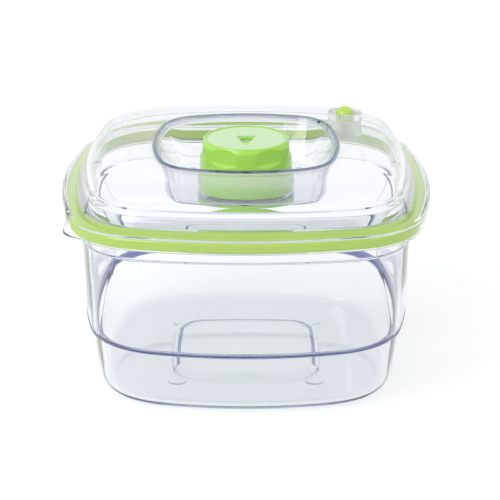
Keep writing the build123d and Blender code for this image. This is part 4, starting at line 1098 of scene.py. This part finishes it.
class CANISTER_OT_gasket(bpy.types.Operator):
    """Builds the silicone gasket under the flange"""

    bl_idname = "canister.gasket"
    bl_label = "Lid gasket"

    def execute(self, context):
        add_piece("lid_gasket_ring", gasket_mesh(), "lid", "lime_silicone", "lid_gasket")
        return {"FINISHED"}


class CANISTER_OT_knob(bpy.types.Operator):
    """Builds the valve knob"""

    bl_idname = "canister.knob"
    bl_label = "Valve knob"

    def execute(self, context):
        add_piece("knob_body", knob_mesh(), "knob", "green_plastic", "knob")
        pale = plain_material("pointer_plastic")
        add_piece("knob_pointer", pointer_mesh(), "knob", "pale_green_plastic", material=pale)
        add_piece("disc_inlay", disc_inlay_mesh(), "knob", "pale_green_plastic", "knob_disc")
        return {"FINISHED"}


class CANISTER_OT_valve(bpy.types.Operator):
    """Builds the cup of the valve base and its screws under the well"""

    bl_idname = "canister.valve"
    bl_label = "Valve base"

    def execute(self, context):
        add_piece("base_cup", base_cup_mesh(), "lid", "green_plastic", "valve_base")
        add_piece("cup_screws", screws_mesh(), "lid", "steel", "base_screws")
        return {"FINISHED"}


class CANISTER_OT_button(bpy.types.Operator):
    """Builds the sprung indicator button"""

    bl_idname = "canister.button"
    bl_label = "Indicator button"

    def execute(self, context):
        green = plain_material("button_plastic")
        add_piece("button_body", button_mesh(), "indicator", "green_plastic", "indicator_button", green)
        return {"FINISHED"}


class CANISTER_OT_springs(bpy.types.Operator):
    """Builds the two springs as still, joined copies of their coils in steel; the ends worked out here are
    not used
    """

    bl_idname = "canister.springs"
    bl_label = "Springs"

    def execute(self, context):
        for node, (name, wire, mover, low_moves) in SPRINGS.items():
            low, high = (Vector(corner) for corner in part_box(node))
            inwards = Vector((0, 0, wire * MM))
            ends = [high - inwards, low + inwards] if low_moves else [low + inwards, high - inwards]
            ends[1].x, ends[1].y = ends[0].x, ends[0].y
            mesh = coil_mesh(node, name)
            dress(mesh, plain_material("steel"))
            piece = placed(name, mesh)
            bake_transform(piece)
            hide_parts(node)
        return {"FINISHED"}


class CANISTER_OT_finishes(bpy.types.Operator):
    """Gives every remaining piece of the frame its finish"""

    bl_idname = "canister.finishes"
    bl_label = "Finishes"

    def execute(self, context):
        for part in frame["record"]["subparts"]:
            node = part["node"]
            if node in REMADE or node in SPRINGS:
                continue
            mesh = frame["nodes"][node].data
            mesh.materials.clear()
            mesh.materials.append(plain_material(part["material_slot"]))
        return {"FINISHED"}


class CANISTER_OT_stage(bpy.types.Operator):
    """Sets the floor, the soft studio light and the camera"""

    bl_idname = "canister.stage"
    bl_label = "Stage"

    def execute(self, context):
        values = context.scene.canister_stage
        self.floor(values)
        self.world(context)
        self.lights(values)
        self.camera(context, values)
        context.scene.view_settings.view_transform = "Standard"
        cycles = context.scene.cycles
        cycles.max_bounces = cycles.transmission_bounces = BOUNCES
        cycles.glossy_bounces = GLOSSY_BOUNCES
        return {"FINISHED"}

    @staticmethod
    def floor(values):
        """Pale paper that glows for rays that see it, and keeps the object's shadow."""
        reach = values.floor_size / 2
        mesh = bpy.data.meshes.new("floor")
        corners = [(-reach, -reach, 0), (reach, -reach, 0), (reach, reach, 0), (-reach, reach, 0)]
        mesh.from_pydata(corners, [], [(0, 1, 2, 3)])
        floor = placed("floor", mesh)
        floor.location.z = -FLOOR_DROP
        material = bpy.data.materials.new("studio_paper")
        node_link(empty_tree(material), {
            **SEEN_NODES,
            "glow": maths("MULTIPLY", FLOOR_GLOW),
            "paper": ("ShaderNodeBsdfDiffuse", {"Color": PAPER}, {}),
            "light": ("ShaderNodeEmission", {"Color": WHITE}, {}),
            "sum": "ShaderNodeAddShader",
            "output": "ShaderNodeOutputMaterial",
        }, [
            *SEEN_LINKS,
            ("any", "glow"), ("glow", "light", "Strength"),
            ("paper", "sum"), ("light", "sum", 1),
            ("sum", "output", "Surface"),
        ])
        mesh.materials.append(material)

    @staticmethod
    def world(context):
        """Soft white light, and a white room that dims a little overhead, as a ray sees it."""
        world = bpy.data.worlds.new("studio")
        context.scene.world = world
        made = node_link(empty_tree(world), {
            **SEEN_NODES,
            "way": "ShaderNodeTexCoord",
            "split": "ShaderNodeSeparateXYZ",
            "ceiling": "ShaderNodeValToRGB",
            "soft": ("ShaderNodeBackground", {"Color": WHITE, "Strength": SOFT_LIGHT}, {}),
            "backdrop": ("ShaderNodeBackground", {"Strength": 1.0}, {}),
            "pick": "ShaderNodeMixShader",
            "output": "ShaderNodeOutputWorld",
        }, [
            *SEEN_LINKS,
            ("way", "split", "Vector", "Generated"), ("split", "ceiling", "Fac", "Z"),
            ("ceiling", "backdrop", "Color"),
            ("any", "pick"), ("soft", "pick", 1),
            ("backdrop", "pick", 2), ("pick", "output", "Surface"),
        ])
        ends = ((CEILING_FROM, WHITE), (CEILING_TO, CEILING))
        for element, (place, color) in zip(made["ceiling"].color_ramp.elements, ends):
            element.position = place
            element.color = color

    @staticmethod
    def lights(values):
        """Square soft lamps."""
        for name, (size, place) in LAMPS.items():
            lamp = bpy.data.lights.new(name, "AREA")
            lamp.energy = getattr(values, name + "_power")
            lamp.shape = "SQUARE"
            lamp.size = size
            holder = placed(name, lamp)
            holder.location = place
            holder.rotation_euler = turned_to(place, LAMP_AIM)

    @staticmethod
    def camera(context, values):
        """Camera at the chosen place."""
        data = bpy.data.cameras.new("camera")
        data.lens = values.lens
        data.sensor_width = SENSOR_WIDTH
        data.shift_x = values.shift_x
        data.shift_y = values.shift_y
        data.clip_end = FARTHEST
        camera = placed("camera", data)
        camera.location = values.eye
        camera.rotation_euler = turned_to(values.eye, values.aim)
        context.scene.camera = camera


class CANISTER_PT_panel(bpy.types.Panel):
    """Sizes, colours and steps of the canister"""

    bl_idname = "CANISTER_PT_panel"
    bl_label = "Vacuum canister"
    bl_space_type = "VIEW_3D"
    bl_region_type = "UI"
    bl_category = CATEGORY

    def draw(self, context):
        for group in (context.scene.canister_finish, context.scene.canister_stage):
            for name in group.bl_rna.properties.keys():
                if name not in ("rna_type", "name"):
                    self.layout.prop(group, name)
        for step in STEPS:
            self.layout.operator(step.bl_idname)


GROUPS = (CanisterFinish, CanisterStage)
STEPS = (
    CANISTER_OT_stage,
    CANISTER_OT_container,
    CANISTER_OT_lid,
    CANISTER_OT_gasket,
    CANISTER_OT_knob,
    CANISTER_OT_valve,
    CANISTER_OT_button,
    CANISTER_OT_springs,
    CANISTER_OT_finishes,
)
CLASSES = GROUPS + STEPS + (CANISTER_PT_panel,)


def register():
    for cls in CLASSES:
        bpy.utils.register_class(cls)
    bpy.types.Scene.canister_finish = bpy.props.PointerProperty(type=CanisterFinish)
    bpy.types.Scene.canister_stage = bpy.props.PointerProperty(type=CanisterStage)


def unregister():
    del bpy.types.Scene.canister_finish
    del bpy.types.Scene.canister_stage
    for cls in reversed(CLASSES):
        bpy.utils.unregister_class(cls)


def main():
    register()
    for step in STEPS:
        family, name = step.bl_idname.split(".")
        getattr(getattr(bpy.ops, family), name)()


if __name__ == "__main__":
    main()
